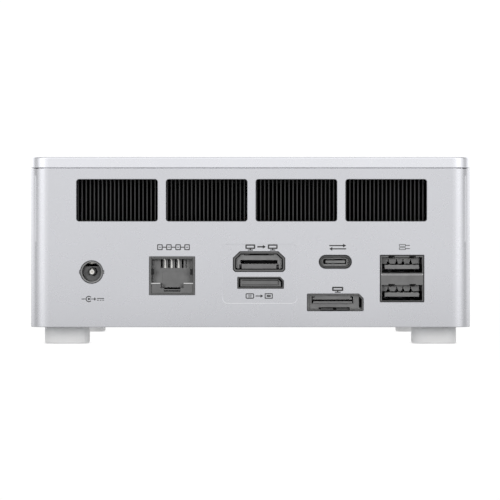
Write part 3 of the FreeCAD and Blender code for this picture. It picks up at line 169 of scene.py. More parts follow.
# bead-blasted anodised aluminium: fine round pits, faint cloudiness
def case_material(name, v):
    k = Mat(name, rough=0.36, metal=1.0, color=grey(v, COOL))
    cloud = k.noise(38.0, 3.0)
    k.vary_color(cloud, grey(v * 0.985, COOL), grey(v * 1.012, COOL))
    k.vary_rough(k.noise(160.0, 4.0), 0.25, 0.30)
    k.bump(k.noise(5200.0, 2.0, 0.6), 0.22, 0.00002)
    k.bump(k.voronoi(2600.0), 0.10, 0.000015)
    return k.m

mat_case = case_material("case_blasted_aluminium", 0.782)
mat_lid = case_material("lid_blasted_aluminium", 0.96)
mat_insert = case_material("insert_blasted_aluminium", 0.775)

k = Mat("base_textured_plastic", rough=0.55, color=grey(0.50, COOL))
k.vary_color(k.noise(60.0, 3.0), grey(0.47, COOL), grey(0.52, COOL))
k.vary_rough(k.noise(420.0, 2.0), 0.5, 0.62)
k.bump(k.voronoi(1700.0), 0.35, 0.00004)
k.bump(k.noise(3800.0, 2.0), 0.2, 0.00002)
mat_base = k.m

k = Mat("foot_silicone", rough=0.42, color=grey(0.80, (0.99, 1.0, 1.005)), Subsurface_Weight=0.55,
        Subsurface_Scale=0.004, IOR=1.41)
k.b.inputs["Subsurface Radius"].default_value = (1.0, 1.0, 1.0)
# painted light and shade by height: lightest at the bottom where the floor lights the foot, darker towards the top in
# the shade under the body
sz = k.nt.nodes.new("ShaderNodeSeparateXYZ")
k.nt.links.new(k.tc.outputs["Object"], sz.inputs[0])
painted_light_z = k.nt.nodes.new("ShaderNodeMapRange")
painted_light_z.inputs["From Max"].default_value = 0.005
k.nt.links.new(sz.outputs["Z"], painted_light_z.inputs[0])
k.nt.links.new(k.ramp(painted_light_z.outputs[0], [(0.0, (0.985, 0.985, 0.985)), (0.4, (0.95, 0.955, 0.96)), (1.0, (0.74, 0.75, 0.76))]),
               k.b.inputs["Base Color"])
k.vary_rough(k.noise(900.0, 2.0), 0.38, 0.5)
k.bump(k.noise(2600.0, 3.0), 0.16, 0.00003)
mat_foot = k.m

k = Mat("plated_steel", rough=0.3, metal=1.0, color=(0.52, 0.52, 0.53))
k.vary_color(k.noise(300.0, 3.0), (0.46, 0.46, 0.47), (0.58, 0.58, 0.59))
k.vary_rough(k.noise(1400.0, 2.0), 0.24, 0.4)
k.bump(k.noise(3000.0, 2.0, stretch=(1, 1, 0.2)), 0.15, 0.00001)
mat_screw = k.m

# nickel-plated stamped sheet: dull grey with drawing lines; its colour holds painted shade and painted light along the
# socket
def shell_material(name, stops, metal=0.55):
    k = Mat("shell_" + name, rough=0.42, metal=metal)
    k.depth(stops, noise_scale=420.0)
    k.vary_rough(k.noise(1500.0, 2.0), 0.36, 0.5)
    k.bump(k.noise(2600.0, 2.0, stretch=(1, 0.12, 1)), 0.2, 0.00002)
    return k.m


# moulded black-grey plastic, painted dark as shade where it lies deep in its socket and painted lighter on back faces
# as if lit
def core_material(name, stops):
    k = Mat("moulding_" + name, rough=0.5)
    k.depth(stops)
    k.vary_rough(k.noise(1800.0, 2.0), 0.42, 0.58)
    k.bump(k.noise(3400.0, 2.0), 0.2, 0.00002)
    return k.m


# the stops below are painted shade and light: low values where a socket lies deep in shade, higher ones on faces
# painted as lit
mat_shell = shell_material("plain", [(46, 0.06), (58, 0.12), (62.5, 0.13)])
mat_core = core_material("plain", [(44, 0.12), (58, 0.14), (62, 0.12)])
SOCKET_MATS = {
    "dc_jack_body": core_material("power", [(52.6, 0.006), (53.4, 0.13), (60.5, 0.15), (61.8, 0.12), (62.5, 0.17)]),
    "lan_jack_insert": core_material("network", [(48.2, 0.010), (48.7, 0.185), (56.0, 0.15), (60.5, 0.085), (62.2, 0.09)]),
    "lan_jack_shell": shell_material("network", [(50, 0.02), (61.5, 0.016), (62.1, 0.10), (62.5, 0.12)]),
    "video_a_core": core_material("video_wide", [(55.0, 0.010), (56.2, 0.22), (57.5, 0.18), (60.8, 0.108)]),
    "video_a_shell": shell_material("video_wide", [(52.0, 0.02), (60.0, 0.08), (61.8, 0.05), (62.4, 0.115)]),
    "expansion_core": core_material("expansion", [(60.9, 0.010), (61.7, 0.09), (62.0, 0.097)]),
    "expansion_shell": shell_material("expansion", [(60.0, 0.02), (62.0, 0.05), (62.6, 0.085)]),
    "type_c_rear_core": core_material("oval", [(54.0, 0.004), (56.2, 0.005), (56.5, 0.27), (58.5, 0.25), (60.0, 0.135), (61.8, 0.13)]),
    "type_c_rear_shell": shell_material("oval", [(57.0, 0.16), (61.0, 0.10), (62.3, 0.035), (62.55, 0.062), (62.68, 0.070)]),
    "video_b_core": core_material("video_narrow", [(56.6, 0.010), (57.2, 0.19), (58.5, 0.16), (61.0, 0.105)]),
    "video_b_shell": shell_material("video_narrow", [(52.0, 0.03), (60.0, 0.10), (62.5, 0.128)]),
    "type_a_stack_core": core_material("stack", [(50.6, 0.006), (51.4, 0.19), (54.0, 0.15), (60.0, 0.12), (61.2, 0.122)]),
    "type_a_stack_shell": shell_material("stack", [(50.0, 0.01), (56.0, 0.03), (61.0, 0.06), (62.3, 0.14), (62.9, 0.155)]),
}
SOCKET_MATS["type_c_front_core"] = SOCKET_MATS["type_c_rear_core"]
SOCKET_MATS["type_c_front_shell"] = SOCKET_MATS["type_c_rear_shell"]
SOCKET_MATS["front_type_a_shells"] = SOCKET_MATS["type_a_stack_shell"]
SOCKET_MATS["front_type_a_cores"] = core_material("flat_front", [(50.9, 0.006), (51.7, 0.10), (54.0, 0.09), (60.0, 0.09), (61.2, 0.10)])
SOCKET_MATS["audio_jack"] = core_material("audio", [(50.0, 0.004), (60.0, 0.02), (61.5, 0.03), (62.7, 0.035)])

k = Mat("contact_plating", rough=0.22, metal=1.0, color=(0.88, 0.87, 0.84))
k.vary_color(k.noise(700.0, 2.0), (0.84, 0.83, 0.80), (0.93, 0.92, 0.89))
k.vary_rough(k.noise(2200.0, 2.0), 0.16, 0.3)
mat_contact = k.m

k = Mat("button_satin", rough=0.34, metal=1.0, color=grey(0.82, COOL))
# turned face; its bump is a fine even noise
k.vary_color(k.noise(120.0, 2.0), grey(0.80, COOL), grey(0.84, COOL))
k.vary_rough(k.noise(900.0, 2.0), 0.3, 0.38)
k.bump(k.noise(5200.0, 2.0), 0.2, 0.00002)
mat_button = k.m

k = Mat("light_guide", rough=0.38, color=(0.86, 0.89, 0.93), Transmission_Weight=0.25, IOR=1.49)
k.vary_color(k.noise(300.0, 2.0), (0.84, 0.87, 0.92), (0.90, 0.92, 0.95))
k.vary_rough(k.noise(1200.0, 2.0), 0.3, 0.45)
mat_guide = k.m

k = Mat("component_black", rough=0.48, color=grey(0.045))
k.vary_color(k.noise(300.0, 2.0), grey(0.035), grey(0.06))
k.vary_rough(k.noise(1600.0, 2.0), 0.38, 0.58)
k.bump(k.noise(4200.0, 2.0), 0.25, 0.00002)
mat_comp = k.m

# solder mask over copper pour: dark blue-black with a faint weave and track relief
k = Mat("circuit_board", rough=0.34, color=(0.012, 0.02, 0.034), Coat_Weight=0.35, Coat_Roughness=0.2)
k.vary_color(k.voronoi(420.0, (1, 0.3, 1)), (0.010, 0.016, 0.026), (0.02, 0.034, 0.055), 0.25, 0.55)
k.vary_rough(k.noise(700.0, 2.0), 0.28, 0.42)
k.bump(k.voronoi(650.0, (0.25, 1, 1)), 0.35, 0.00003)
k.bump(k.noise(2400.0, 2.0), 0.1, 0.00001)
mat_board = k.m

k = Mat("cooler_aluminium", rough=0.33, metal=1.0, color=grey(0.66))
k.vary_color(k.noise(200.0, 3.0, stretch=(1, 0.05, 1)), grey(0.58), grey(0.72))
k.vary_rough(k.noise(900.0, 2.0, stretch=(1, 0.05, 1)), 0.26, 0.4)
k.bump(k.noise(2600.0, 2.0, stretch=(1, 0.03, 1)), 0.2, 0.00002)
mat_alu = k.m

k = Mat("cooler_copper", rough=0.3, metal=1.0, color=(0.80, 0.42, 0.27))
k.vary_color(k.noise(90.0, 4.0), (0.70, 0.34, 0.21), (0.86, 0.48, 0.32))
k.vary_rough(k.noise(600.0, 3.0), 0.22, 0.42)
k.bump(k.noise(1500.0, 2.0), 0.15, 0.00002)
mat_copper = k.m

k = Mat("fin_black_coat", rough=0.42, metal=0.0, color=grey(0.042))
k.vary_color(k.noise(260.0, 3.0, stretch=(1, 1, 0.2)), grey(0.033), grey(0.051))
k.vary_rough(k.noise(1300.0, 2.0), 0.34, 0.5)
k.bump(k.noise(3000.0, 2.0, stretch=(1, 1, 0.15)), 0.15, 0.00002)
mat_fin = k.m

k = Mat("fan_moulding", rough=0.44, color=grey(0.028))
k.vary_color(k.noise(180.0, 3.0), grey(0.022), grey(0.036))
k.vary_rough(k.noise(1100.0, 2.0), 0.36, 0.54)
k.bump(k.noise(2900.0, 2.0), 0.3, 0.00003)
mat_fan = k.m

k = Mat("wire_insulation", rough=0.45, color=grey(0.03))
k.vary_color(k.noise(400.0, 2.0), grey(0.022), grey(0.04))
k.vary_rough(k.noise(1500.0, 2.0), 0.38, 0.52)
k.bump(k.noise(2500.0, 2.0), 0.2, 0.00002)
mat_wire = k.m

# pad print: flat dark grey ink, slightly uneven
k = Mat("print_ink", rough=0.6, color=grey(0.045))
k.vary_color(k.noise(1600.0, 3.0), grey(0.036), grey(0.058))
k.vary_rough(k.noise(2600.0, 2.0), 0.52, 0.7)
mat_ink = k.m

SLOT_MATS = {
    "case_metal": mat_case, "base_plastic": mat_base, "foot_silicone": mat_foot, "screw_steel": mat_screw,
    "socket_plastic": mat_core, "socket_metal": mat_shell, "contact_metal": mat_contact,
    "button_plastic": mat_button, "light_guide": mat_guide, "component_plastic": mat_comp,
    "circuit_board": mat_board, "cooler_aluminium": mat_alu, "cooler_copper": mat_copper,
    "fin_black": mat_fin, "fan_plastic": mat_fan, "lead_sleeve": mat_wire,
}
OWN = {"top_cover": mat_lid, "io_insert_plate": mat_insert}
OWN.update(SOCKET_MATS)
slot_of = {s["node"]: s["material_slot"] for s in frame["record"]["subparts"]}
for name, ob in nodes.items():
    m = OWN.get(name) or SLOT_MATS.get(slot_of.get(name, ""), mat_comp)
    if not ob.material_slots:
        ob.data.materials.append(m)
    for s in ob.material_slots:
        s.material = m


# ---------------------------------------------------------------------------
# geometry helpers for the small pieces (millimetres in, metres out)
# ---------------------------------------------------------------------------
def inset_poly(pts, d):
    """Counter-clockwise polygon moved inwards by d."""
    out = []
    n = len(pts)
    for i in range(n):
        p0, p1, p2 = Vector(pts[i - 1]), Vector(pts[i]), Vector(pts[(i + 1) % n])
        a, b = (p1 - p0).normalized(), (p2 - p1).normalized()
        na, nb = Vector((-a.y, a.x)), Vector((-b.y, b.x))
        k = na + nb
        out.append(tuple(p1 + k * (2 * d / max(k.length_squared, 1e-9))))
    return out


def rounded(pts, r, seg=6):
    """Polygon with its corners rounded; every corner gives seg + 1 points."""
    out = []
    n = len(pts)
    for i in range(n):
        p0, p1, p2 = Vector(pts[i - 1]), Vector(pts[i]), Vector(pts[(i + 1) % n])
        a, b = (p0 - p1), (p2 - p1)
        la, lb = a.length, b.length
        a, b = a / la, b / lb
        ang = a.angle(b)
        rr = min(r, 0.49 * min(la, lb) * math.tan(ang / 2))
        t = rr / math.tan(ang / 2)
        s0, s1 = p1 + a * t, p1 + b * t
        c = p1 + (a + b).normalized() * (rr / math.sin(ang / 2))
        a0 = math.atan2((s0 - c).y, (s0 - c).x)
        a1 = math.atan2((s1 - c).y, (s1 - c).x)
        da = (a1 - a0 + math.pi) % (2 * math.pi) - math.pi
        for j in range(seg + 1):
            q = a0 + da * j / seg
            out.append((c.x + rr * math.cos(q), c.y + rr * math.sin(q)))
    return out


def rect(x0, x1, z0, z1):
    return [(x0, z0), (x1, z0), (x1, z1), (x0, z1)]


def circle(cx, cz, r, n=48):
    return [(cx + r * math.cos(2 * math.pi * i / n), cz + r * math.sin(2 * math.pi * i / n)) for i in range(n)]


def finish_mesh(name, bm, mat, body, smooth=True, bevel=0.0, mats=None):
    bmesh.ops.recalc_face_normals(bm, faces=bm.faces)
    me = bpy.data.meshes.new(name)
    bm.to_mesh(me)
    bm.free()
    for m in (mats or [mat]):
        me.materials.append(m)
    ob = bpy.data.objects.new(name, me)
    scene.collection.objects.link(ob)
    if bevel:
        bv = ob.modifiers.new("bevel", "BEVEL")
        bv.width = bevel * MM
        bv.segments = 2
        bv.limit_method = "ANGLE"
        bv.angle_limit = math.radians(40)
    if smooth:
        me.shade_smooth()
        me.set_sharp_from_angle(angle=math.radians(35))
    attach(ob, body)
    return ob


def ring_between(bm, outer, inner, y0, y1, index=0):
    """Closed ring between two outlines of the same number of points, from y0 to y1."""
    loops = []
    for pts, y in ((outer, y0), (inner, y0), (inner, y1), (outer, y1)):
        loops.append([bm.verts.new((x * MM, y * MM, z * MM)) for x, z in pts])
    n = len(outer)
    for k in range(4):
        A, B = loops[k], loops[(k + 1) % 4]
        for i in range(n):
            j = (i + 1) % n
            bm.faces.new((A[i], A[j], B[j], B[i])).material_index = index


def slab(bm, pts, y0, y1, index=0):
    """Closed prism of a convex outline in the X-Z plane."""
    A = [bm.verts.new((x * MM, y0 * MM, z * MM)) for x, z in pts]
    B = [bm.verts.new((x * MM, y1 * MM, z * MM)) for x, z in pts]
    faces = [bm.faces.new(A), bm.faces.new(B[::-1])]
    n = len(pts)
    for i in range(n):
        j = (i + 1) % n
        faces.append(bm.faces.new((A[i], B[i], B[j], A[j])))
    for f in faces:
        f.material_index = index


# ---------------------------------------------------------------------------
# painted shadow: black rings set into the gaps round the rear sockets stand for the shade in those gaps
# ---------------------------------------------------------------------------
k = Mat("gap_shadow_black", rough=0.75, color=grey(0.014), Specular_IOR_Level=0.2)
k.vary_color(k.noise(900.0, 2.0), grey(0.010), grey(0.018))
k.vary_rough(k.noise(1500.0, 2.0), 0.68, 0.85)
k.bump(k.noise(3200.0, 3.0), 0.35, 0.00003)
mat_gap_shadow = k.m

VA_X = -2.52
VA_OUT = [(VA_X - 7.05, 21.27), (VA_X + 7.05, 21.27), (VA_X + 7.73, 21.95), (VA_X + 7.73, 25.45), (VA_X + 5.67, 27.40),
          (VA_X - 5.67, 27.40), (VA_X - 7.73, 25.45), (VA_X - 7.73, 21.95)]
SL = (-9.87, 3.92, 16.32, 19.86)
SL_OUT = [(SL[0], SL[2]), (SL[1], SL[2]), (SL[1], SL[3]), (SL[0] + 1.1, SL[3]), (SL[0], SL[3] - 1.1)]
VB = (-33.28, -16.70, 9.81, 14.85)
VB_OUT = [(VB[0], VB[2]), (VB[1], VB[2]), (VB[1], VB[3]), (VB[0] + 1.35, VB[3]), (VB[0], VB[3] - 1.35)]


def gap_shadow_ring(name, outline, r, d_out, d_in, y1=62.66):
    bm = bmesh.new()
    ring_between(bm, rounded(inset_poly(outline, d_out), max(r - d_out, 0.05)), rounded(inset_poly(outline, d_in), max(r - d_in, 0.05)),
                 61.25, y1)
    finish_mesh(name, bm, mat_gap_shadow, "chassis")


gap_shadow_ring("gap_shadow_wide_video", VA_OUT, 0.25, 0.02, 0.225)
gap_shadow_ring("gap_shadow_expansion", SL_OUT, 0.25, 0.01, 0.07)
gap_shadow_ring("gap_shadow_narrow_video", VB_OUT, 0.3, 0.015, 0.125)
gap_shadow_ring("gap_shadow_flat_stack", rect(-51.16, -38.17, 12.44, 26.28), 0.2, 0.02, 0.225)
gap_shadow_ring("gap_shadow_network", rect(16.38, 29.84, 14.53, 25.81), 0.15, 0.01, 0.07)
gap_shadow_ring("gap_shadow_oval", rect(-24.99 - 4.815, -24.99 + 4.815, 22.28, 26.28), 1.98, 0.02, 0.225)
# the same painted shadow ring round the power socket
bm = bmesh.new()
ring_between(bm, circle(46.80, 21.27, 3.355, 72), circle(46.80, 21.27, 3.225, 72), 61.25, 62.6)
finish_mesh("gap_shadow_power", bm, mat_gap_shadow, "chassis")

# ---------------------------------------------------------------------------
# pad-printed pictograms: generic shapes, a few hundredths of a millimetre high
# ---------------------------------------------------------------------------
class Print:
    """Draws in the panel's plane: u to the right of someone facing it, v up, from the middle of the sign."""

    def __init__(self, name, cx, cz, side=1, body="chassis", y=None, t=0.022):
        self.bm = bmesh.new()
        self.name, self.cx, self.cz, self.side, self.body = name, cx, cz, side, body
        y = (63.0 if y is None else y)
        self.y0, self.y1 = side * (y - 0.004), side * (y + t)
        self.index = 0

    def pt(self, u, v):
        return (self.cx - self.side * u, self.cz + v)

    def poly(self, pts):
        slab(self.bm, [self.pt(u, v) for u, v in pts], self.y0, self.y1, self.index)

    def bar(self, u0, v0, u1, v1, w):
        d = Vector((u1 - u0, v1 - v0))
        n = Vector((-d.y, d.x)).normalized() * (w / 2)
        self.poly([(u0 + n.x, v0 + n.y), (u0 - n.x, v0 - n.y), (u1 - n.x, v1 - n.y), (u1 + n.x, v1 + n.y)])

    def frame(self, u0, u1, v0, v1, w, r=0.25):
        pts = [self.pt(u, v) for u, v in rect(u0, u1, v0, v1)]
        if self.side > 0:
            pts = pts[::-1]
        ring_between(self.bm, rounded(pts, r), rounded(inset_poly(pts, w), max(r - w, 0.03)), self.y0, self.y1, self.index)

    def ring(self, u, v, r, w, n=36):
        c = self.pt(u, v)
        ring_between(self.bm, circle(c[0], c[1], r, n), circle(c[0], c[1], r - w, n), self.y0, self.y1, self.index)

    def arc(self, u, v, r, w, a0, a1, n=20):
        for i in range(n):
            p, q = math.radians(a0 + (a1 - a0) * i / n), math.radians(a0 + (a1 - a0) * (i + 1) / n)
            self.poly([(u + (r - w) * math.cos(p), v + (r - w) * math.sin(p)), (u + r * math.cos(p), v + r * math.sin(p)),
                       (u + r * math.cos(q), v + r * math.sin(q)), (u + (r - w) * math.cos(q), v + (r - w) * math.sin(q))])

    def dot(self, u, v, r, n=20):
        self.poly([(u + r * math.cos(2 * math.pi * i / n), v + r * math.sin(2 * math.pi * i / n)) for i in range(n)])

    def arrow(self, u0, u1, v, w, head):
        s_ = 1 if u1 > u0 else -1
        self.bar(u0, v, u1 - s_ * head * 0.8, v, w)
        self.poly([(u1, v), (u1 - s_ * head, v + head * 0.62), (u1 - s_ * head, v - head * 0.62)])

    def done(self, turn=None, mats=None):
        if turn is not None:
            bmesh.ops.transform(self.bm, matrix=turn, verts=self.bm.verts)
        return finish_mesh(self.name, self.bm, mat_ink, self.body, smooth=False, mats=mats)


def px(u):
    return (250.5 - u) / 3.395


def pz(v):
    return 36.0 + (222.0 - v) / 3.395


# network: four stations on a line
g = Print("sign_network", px(173.5), pz(247.2))
for u in (-4.0, -1.35, 1.35, 4.0):
    g.frame(u - 0.80, u + 0.80, -0.86, 0.86, 0.28, 0.2)
    g.bar(u - 0.3, 0.0, u + 0.3, 0.0, 0.22)
for u in (-2.675, 0.0, 2.675):
    g.bar(u - 0.53, 0.0, u + 0.53, 0.0, 0.28)
g.done()
# wide video: two screens side by side, joined by an arrow
g = Print("sign_wide_video", px(261.5), pz(247.3))
for u in (-3.3, 3.3):
    g.frame(u - 1.45, u + 1.45, -0.48, 0.86, 0.40, 0.2)
    g.bar(u - 0.8, -0.80, u + 0.8, -0.80, 0.30)
    g.bar(u, -0.78, u, -0.4, 0.36)
g.arrow(-1.25, 1.3, 0.15, 0.42, 0.9)
g.done()
# expansion: card that slides towards a frame
g = Print("sign_expansion", px(259.2), pz(296.0))
g.frame(-4.0, -1.5, -0.8, 0.8, 0.28, 0.35)
g.bar(-3.3, -0.25, -2.2, -0.25, 0.22)
g.bar(-3.3, 0.25, -2.2, 0.25, 0.22)
g.arrow(-1.1, 1.2, 0.0, 0.28, 0.8)
g.frame(1.6, 4.0, -0.8, 0.8, 0.28, 0.2)
g.bar(2.2, 0.0, 3.4, 0.0, 0.55)
g.done()
# oval socket: arrows both ways
g = Print("sign_oval", px(337.7), pz(247.2))
g.arrow(-2.5, 2.5, 0.48, 0.34, 0.9)
g.arrow(2.5, -2.5, -0.48, 0.34, 0.9)
g.done()
# narrow video: one screen on a stand
g = Print("sign_narrow_video", px(337.7), pz(289.6))
g.frame(-1.65, 1.65, -0.42, 0.84, 0.44, 0.2)
g.bar(-0.85, -0.76, 0.85, -0.76, 0.3)
g.bar(0.0, -0.76, 0.0, -0.35, 0.36)
g.done()
# flat data sockets: two plugs, one above the other
g = Print("sign_flat_data", px(404.5), pz(247.0))
for v in (-0.48, 0.48):
    g.frame(-1.6, 0.35, v - 0.36, v + 0.36, 0.17, 0.1)
    g.bar(0.35, v, 1.6, v, 0.2)
g.done()
# power: centre contact positive, then the direct-current sign
g = Print("sign_power", px(88.8), pz(299.0))
g.bar(-2.15, 0.0, -1.4, 0.0, 0.26)
g.bar(-1.4, 0.0, -0.86, 0.0, 0.2)
g.arc(0.0, 0.0, 0.92, 0.27, 40, 320)
g.dot(0.0, 0.0, 0.32)
g.bar(0.0, 0.0, 1.4, 0.0, 0.2)
g.bar(1.35, 0.0, 2.15, 0.0, 0.26)
g.bar(1.75, -0.42, 1.75, 0.42, 0.26)
g.done()
g = Print("sign_direct_current", px(100.5), pz(299.4))
g.bar(-1.05, 0.28, 1.05, 0.28, 0.22)
for u in (-0.78, 0.0, 0.78):
    g.bar(u - 0.26, -0.22, u + 0.26, -0.22, 0.22)
g.done()

# front panel signs
FZ = 23.7
for i, x in enumerate((-36.0, -18.0)):
    g = Print("sign_front_data_%d" % (i + 1), x, FZ + 5.6, side=-1)
    for v in (-0.48, 0.48):
        g.frame(-1.6, 0.35, v - 0.36, v + 0.36, 0.17, 0.1)
        g.bar(0.35, v, 1.6, v, 0.2)
    g.done()
g = Print("sign_front_oval", -2.0, FZ + 5.6, side=-1)
g.arrow(-2.3, 2.3, 0.42, 0.24, 0.7)
g.arrow(2.3, -2.3, -0.42, 0.24, 0.7)
g.done()
g = Print("sign_front_audio", 12.0, FZ + 5.9, side=-1)
g.arc(0.0, -0.15, 1.15, 0.22, 0, 180)
g.bar(-1.05, -0.15, -1.05, -0.75, 0.42)
g.bar(1.05, -0.15, 1.05, -0.75, 0.42)
g.done()

# ---------------------------------------------------------------------------
# painted highlights: a bright ring in the seam round the insert plate and bright strips on the socket ledges stand for
# the light these edges catch
# ---------------------------------------------------------------------------
k = Mat("seam_painted_highlight", rough=0.3, metal=1.0, color=grey(0.85, COOL))
sz = k.nt.nodes.new("ShaderNodeSeparateXYZ")
k.nt.links.new(k.tc.outputs["Object"], sz.inputs[0])
painted_light_z = k.nt.nodes.new("ShaderNodeMapRange")
painted_light_z.inputs["From Min"].default_value = 0.0118
painted_light_z.inputs["From Max"].default_value = 0.0296
k.nt.links.new(sz.outputs["Z"], painted_light_z.inputs[0])
# painted highlight: brightest along the seam's lower edge, darker towards its top
k.nt.links.new(k.ramp(painted_light_z.outputs[0], [(0.0, grey(1.0, COOL)), (0.08, grey(0.93, COOL)), (0.16, grey(0.82, COOL)), (0.9, grey(0.80, COOL)), (1.0, grey(0.74, COOL))]),
               k.b.inputs["Base Color"])
k.vary_rough(k.noise(700.0, 2.0), 0.26, 0.34)
k.bump(k.noise(3800.0, 2.0), 0.15, 0.00001)
mat_seam = k.m

# painted highlight: bright plating on the strips that stand for the light caught by the socket ledges
k = Mat("ledge_highlight_plating", rough=0.34, metal=1.0, color=grey(0.86))
k.vary_color(k.noise(500.0, 2.0), grey(0.80), grey(0.92))
k.vary_rough(k.noise(1500.0, 2.0), 0.3, 0.42)
k.bump(k.noise(2600.0, 2.0, stretch=(0.1, 1, 1)), 0.2, 0.00001)
mat_ledge_highlight = k.m

CUT = (-13.70, 8.25, 12.05, 29.46)
bm = bmesh.new()
seam = rect(CUT[0], CUT[1], CUT[2], CUT[3])
ring_between(bm, rounded(inset_poly(seam, -0.10), 1.60, 10), rounded(inset_poly(seam, 0.14), 1.36, 10), 62.55, 62.985)
finish_mesh("insert_seam_highlight", bm, mat_seam, "chassis")


def highlight_strips(name, strips, y0, y1, r=0.08, mat=None):
    bm = bmesh.new()
    for x0, x1, z0, z1 in strips:
        slab(bm, rounded(rect(x0, x1, z0, z1), r, 4), y0, y1)
    return finish_mesh(name, bm, mat or mat_ledge_highlight, "chassis", smooth=False)


# painted highlights along the divider between the stacked sockets and along the network socket's ledges
highlight_strips("stack_divider_highlight", [(-50.80, -38.54, 20.36, 20.68)], 62.35, 62.84)
highlight_strips("network_ledge_highlights", [(26.55, 29.32, 17.80, 18.05), (16.90, 19.68, 17.80, 18.05)], 62.2, 62.64, 0.06)

# gilt ferrule round the headset socket
k = Mat("ferrule_gilt", rough=0.24, metal=1.0, color=(0.86, 0.66, 0.36))
k.vary_color(k.noise(600.0, 2.0), (0.80, 0.60, 0.31), (0.90, 0.71, 0.42))
k.vary_rough(k.noise(1800.0, 2.0), 0.18, 0.32)
mat_gilt = k.m
bm = bmesh.new()
ring_between(bm, circle(12.0, 23.7, 2.42, 64), circle(12.0, 23.7, 1.84, 64), -62.8, -62.55)
finish_mesh("audio_ferrule", bm, mat_gilt, "chassis", bevel=0.04)


# ---------------------------------------------------------------------------
# power symbol in the button's finger dish
# ---------------------------------------------------------------------------
def dish_y(x, z):
    r2 = (x - 42.0) ** 2 + (z - 24.0) ** 2
    return -92.65 + math.sqrt(900.0 - r2)


def dish_patch(bm, pts):
    A = [bm.verts.new((x * MM, (dish_y(x, z) + 0.012) * MM, z * MM)) for x, z in pts]
    B = [bm.verts.new((x * MM, (dish_y(x, z) - 0.022) * MM, z * MM)) for x, z in pts]
    bm.faces.new(A)
    bm.faces.new(B[::-1])
    for i in range(len(pts)):
        j = (i + 1) % len(pts)
        bm.faces.new((A[i], B[i], B[j], A[j]))


bm = bmesh.new()
N = 44
for i in range(N):
    p, q = (math.radians(125.0 + 290.0 * t / N) for t in (i, i + 1))
    dish_patch(bm, [(42.0 + r * math.cos(a), 24.0 + r * math.sin(a)) for r, a in ((1.62, p), (1.96, p), (1.96, q), (1.62, q))])
for i in range(6):
    z0, z1 = 24.45 + 1.9 * i / 6, 24.45 + 1.9 * (i + 1) / 6
    dish_patch(bm, [(41.83, z0), (42.17, z0), (42.17, z1), (41.83, z1)])
bmesh.ops.remove_doubles(bm, verts=bm.verts, dist=1e-8)
finish_mesh("power_symbol", bm, mat_ink, "power_button", smooth=False)

# ---------------------------------------------------------------------------
# paper labels on the two fan hubs: rings and a turning arrow, no lettering
# ---------------------------------------------------------------------------
k = Mat("label_film", rough=0.4, color=(0.62, 0.63, 0.65), Coat_Weight=0.3, Coat_Roughness=0.3)
k.vary_color(k.noise(260.0, 3.0), (0.58, 0.59, 0.61), (0.66, 0.67, 0.69))
k.vary_rough(k.noise(1200.0, 2.0), 0.34, 0.48)
k.bump(k.noise(900.0, 2.0), 0.08, 0.00002)
mat_label = k.m


def hub_label(name, body, radius, where, up):
    g = Print(name, 0.0, 0.0, side=1, body=body)
    g.y0, g.y1 = -0.01, 0.07
    edge = [(radius * math.cos(a), radius * math.sin(a)) for a in (math.radians(112 + 316.0 * i / 70) for i in range(71))]
    g.poly(edge)
    g.index, g.y0, g.y1 = 1, 0.068, 0.082
    g.ring(0.0, 0.0, radius * 0.91, radius * 0.03, 72)
    g.arc(0.0, 0.0, radius * 0.66, radius * 0.075, -40, 200, 40)
    c, s_ = math.cos(math.radians(206)), math.sin(math.radians(206))
    t = (math.sin(math.radians(206)) * -1, math.cos(math.radians(206)))
    m_ = radius * 0.6225
    g.poly([(m_ * c + t[0] * radius * 0.17, m_ * s_ + t[1] * radius * 0.17),
            (m_ * c * 1.22 - t[0] * radius * 0.09, m_ * s_ * 1.22 - t[1] * radius * 0.09),
            (m_ * c * 0.78 - t[0] * radius * 0.09, m_ * s_ * 0.78 - t[1] * radius * 0.09)])
    for i in range(5):
        w = (0.34, 0.26, 0.34, 0.18, 0.30)[i] * radius
        g.bar(-w, (0.24 - 0.12 * i) * radius, w, (0.24 - 0.12 * i) * radius, radius * 0.045)
    turn = Matrix.Translation(Vector(where) * MM) @ Matrix.Rotation(math.radians(90 if up else -90), 4, "X")
    return g.done(turn, [mat_label, mat_ink])


hub_label("label_blower_hub", "blower_wheel", 9.8, (0.0, 2.0, 46.6), True)
hub_label("label_drive_fan_hub", "drive_fan_wheel", 8.6, (0.0, 0.0, 8.4), False)

# ---------------------------------------------------------------------------
# blower lead: four round wires, side by side
# ---------------------------------------------------------------------------
def wire_material(name, c):
    k = Mat(name, rough=0.42, color=c)
    k.vary_color(k.noise(400.0, 2.0), tuple(v * 0.85 for v in c), tuple(v * 1.12 for v in c))
    k.vary_rough(k.noise(1500.0, 2.0), 0.36, 0.5)
    k.bump(k.noise(2500.0, 2.0), 0.15, 0.00002)
    return k.m


def wire_path(y, wave):
    pts = []
    x0, z0, x1, z1, r = 36.45, 37.4, 53.5, 30.45, 3.0
    n = 18
    for i in range(n):
        t = i / n
        pts.append((x0 + (x1 - r - x0) * t, y + wave * math.sin(math.pi * t) ** 2, z0 + 0.10 * math.sin(2 * math.pi * t) * (1 if wave > 0 else -1)))
    for i in range(11):
        a = math.pi / 2 * (1 - i / 10)
        pts.append((x1 - r + r * math.cos(a), y, z0 - r + r * math.sin(a)))
    for i in range(1, 8):
        pts.append((x1, y, z0 - r + (z1 - z0 + r) * i / 7))
    return [Vector(p) for p in pts]


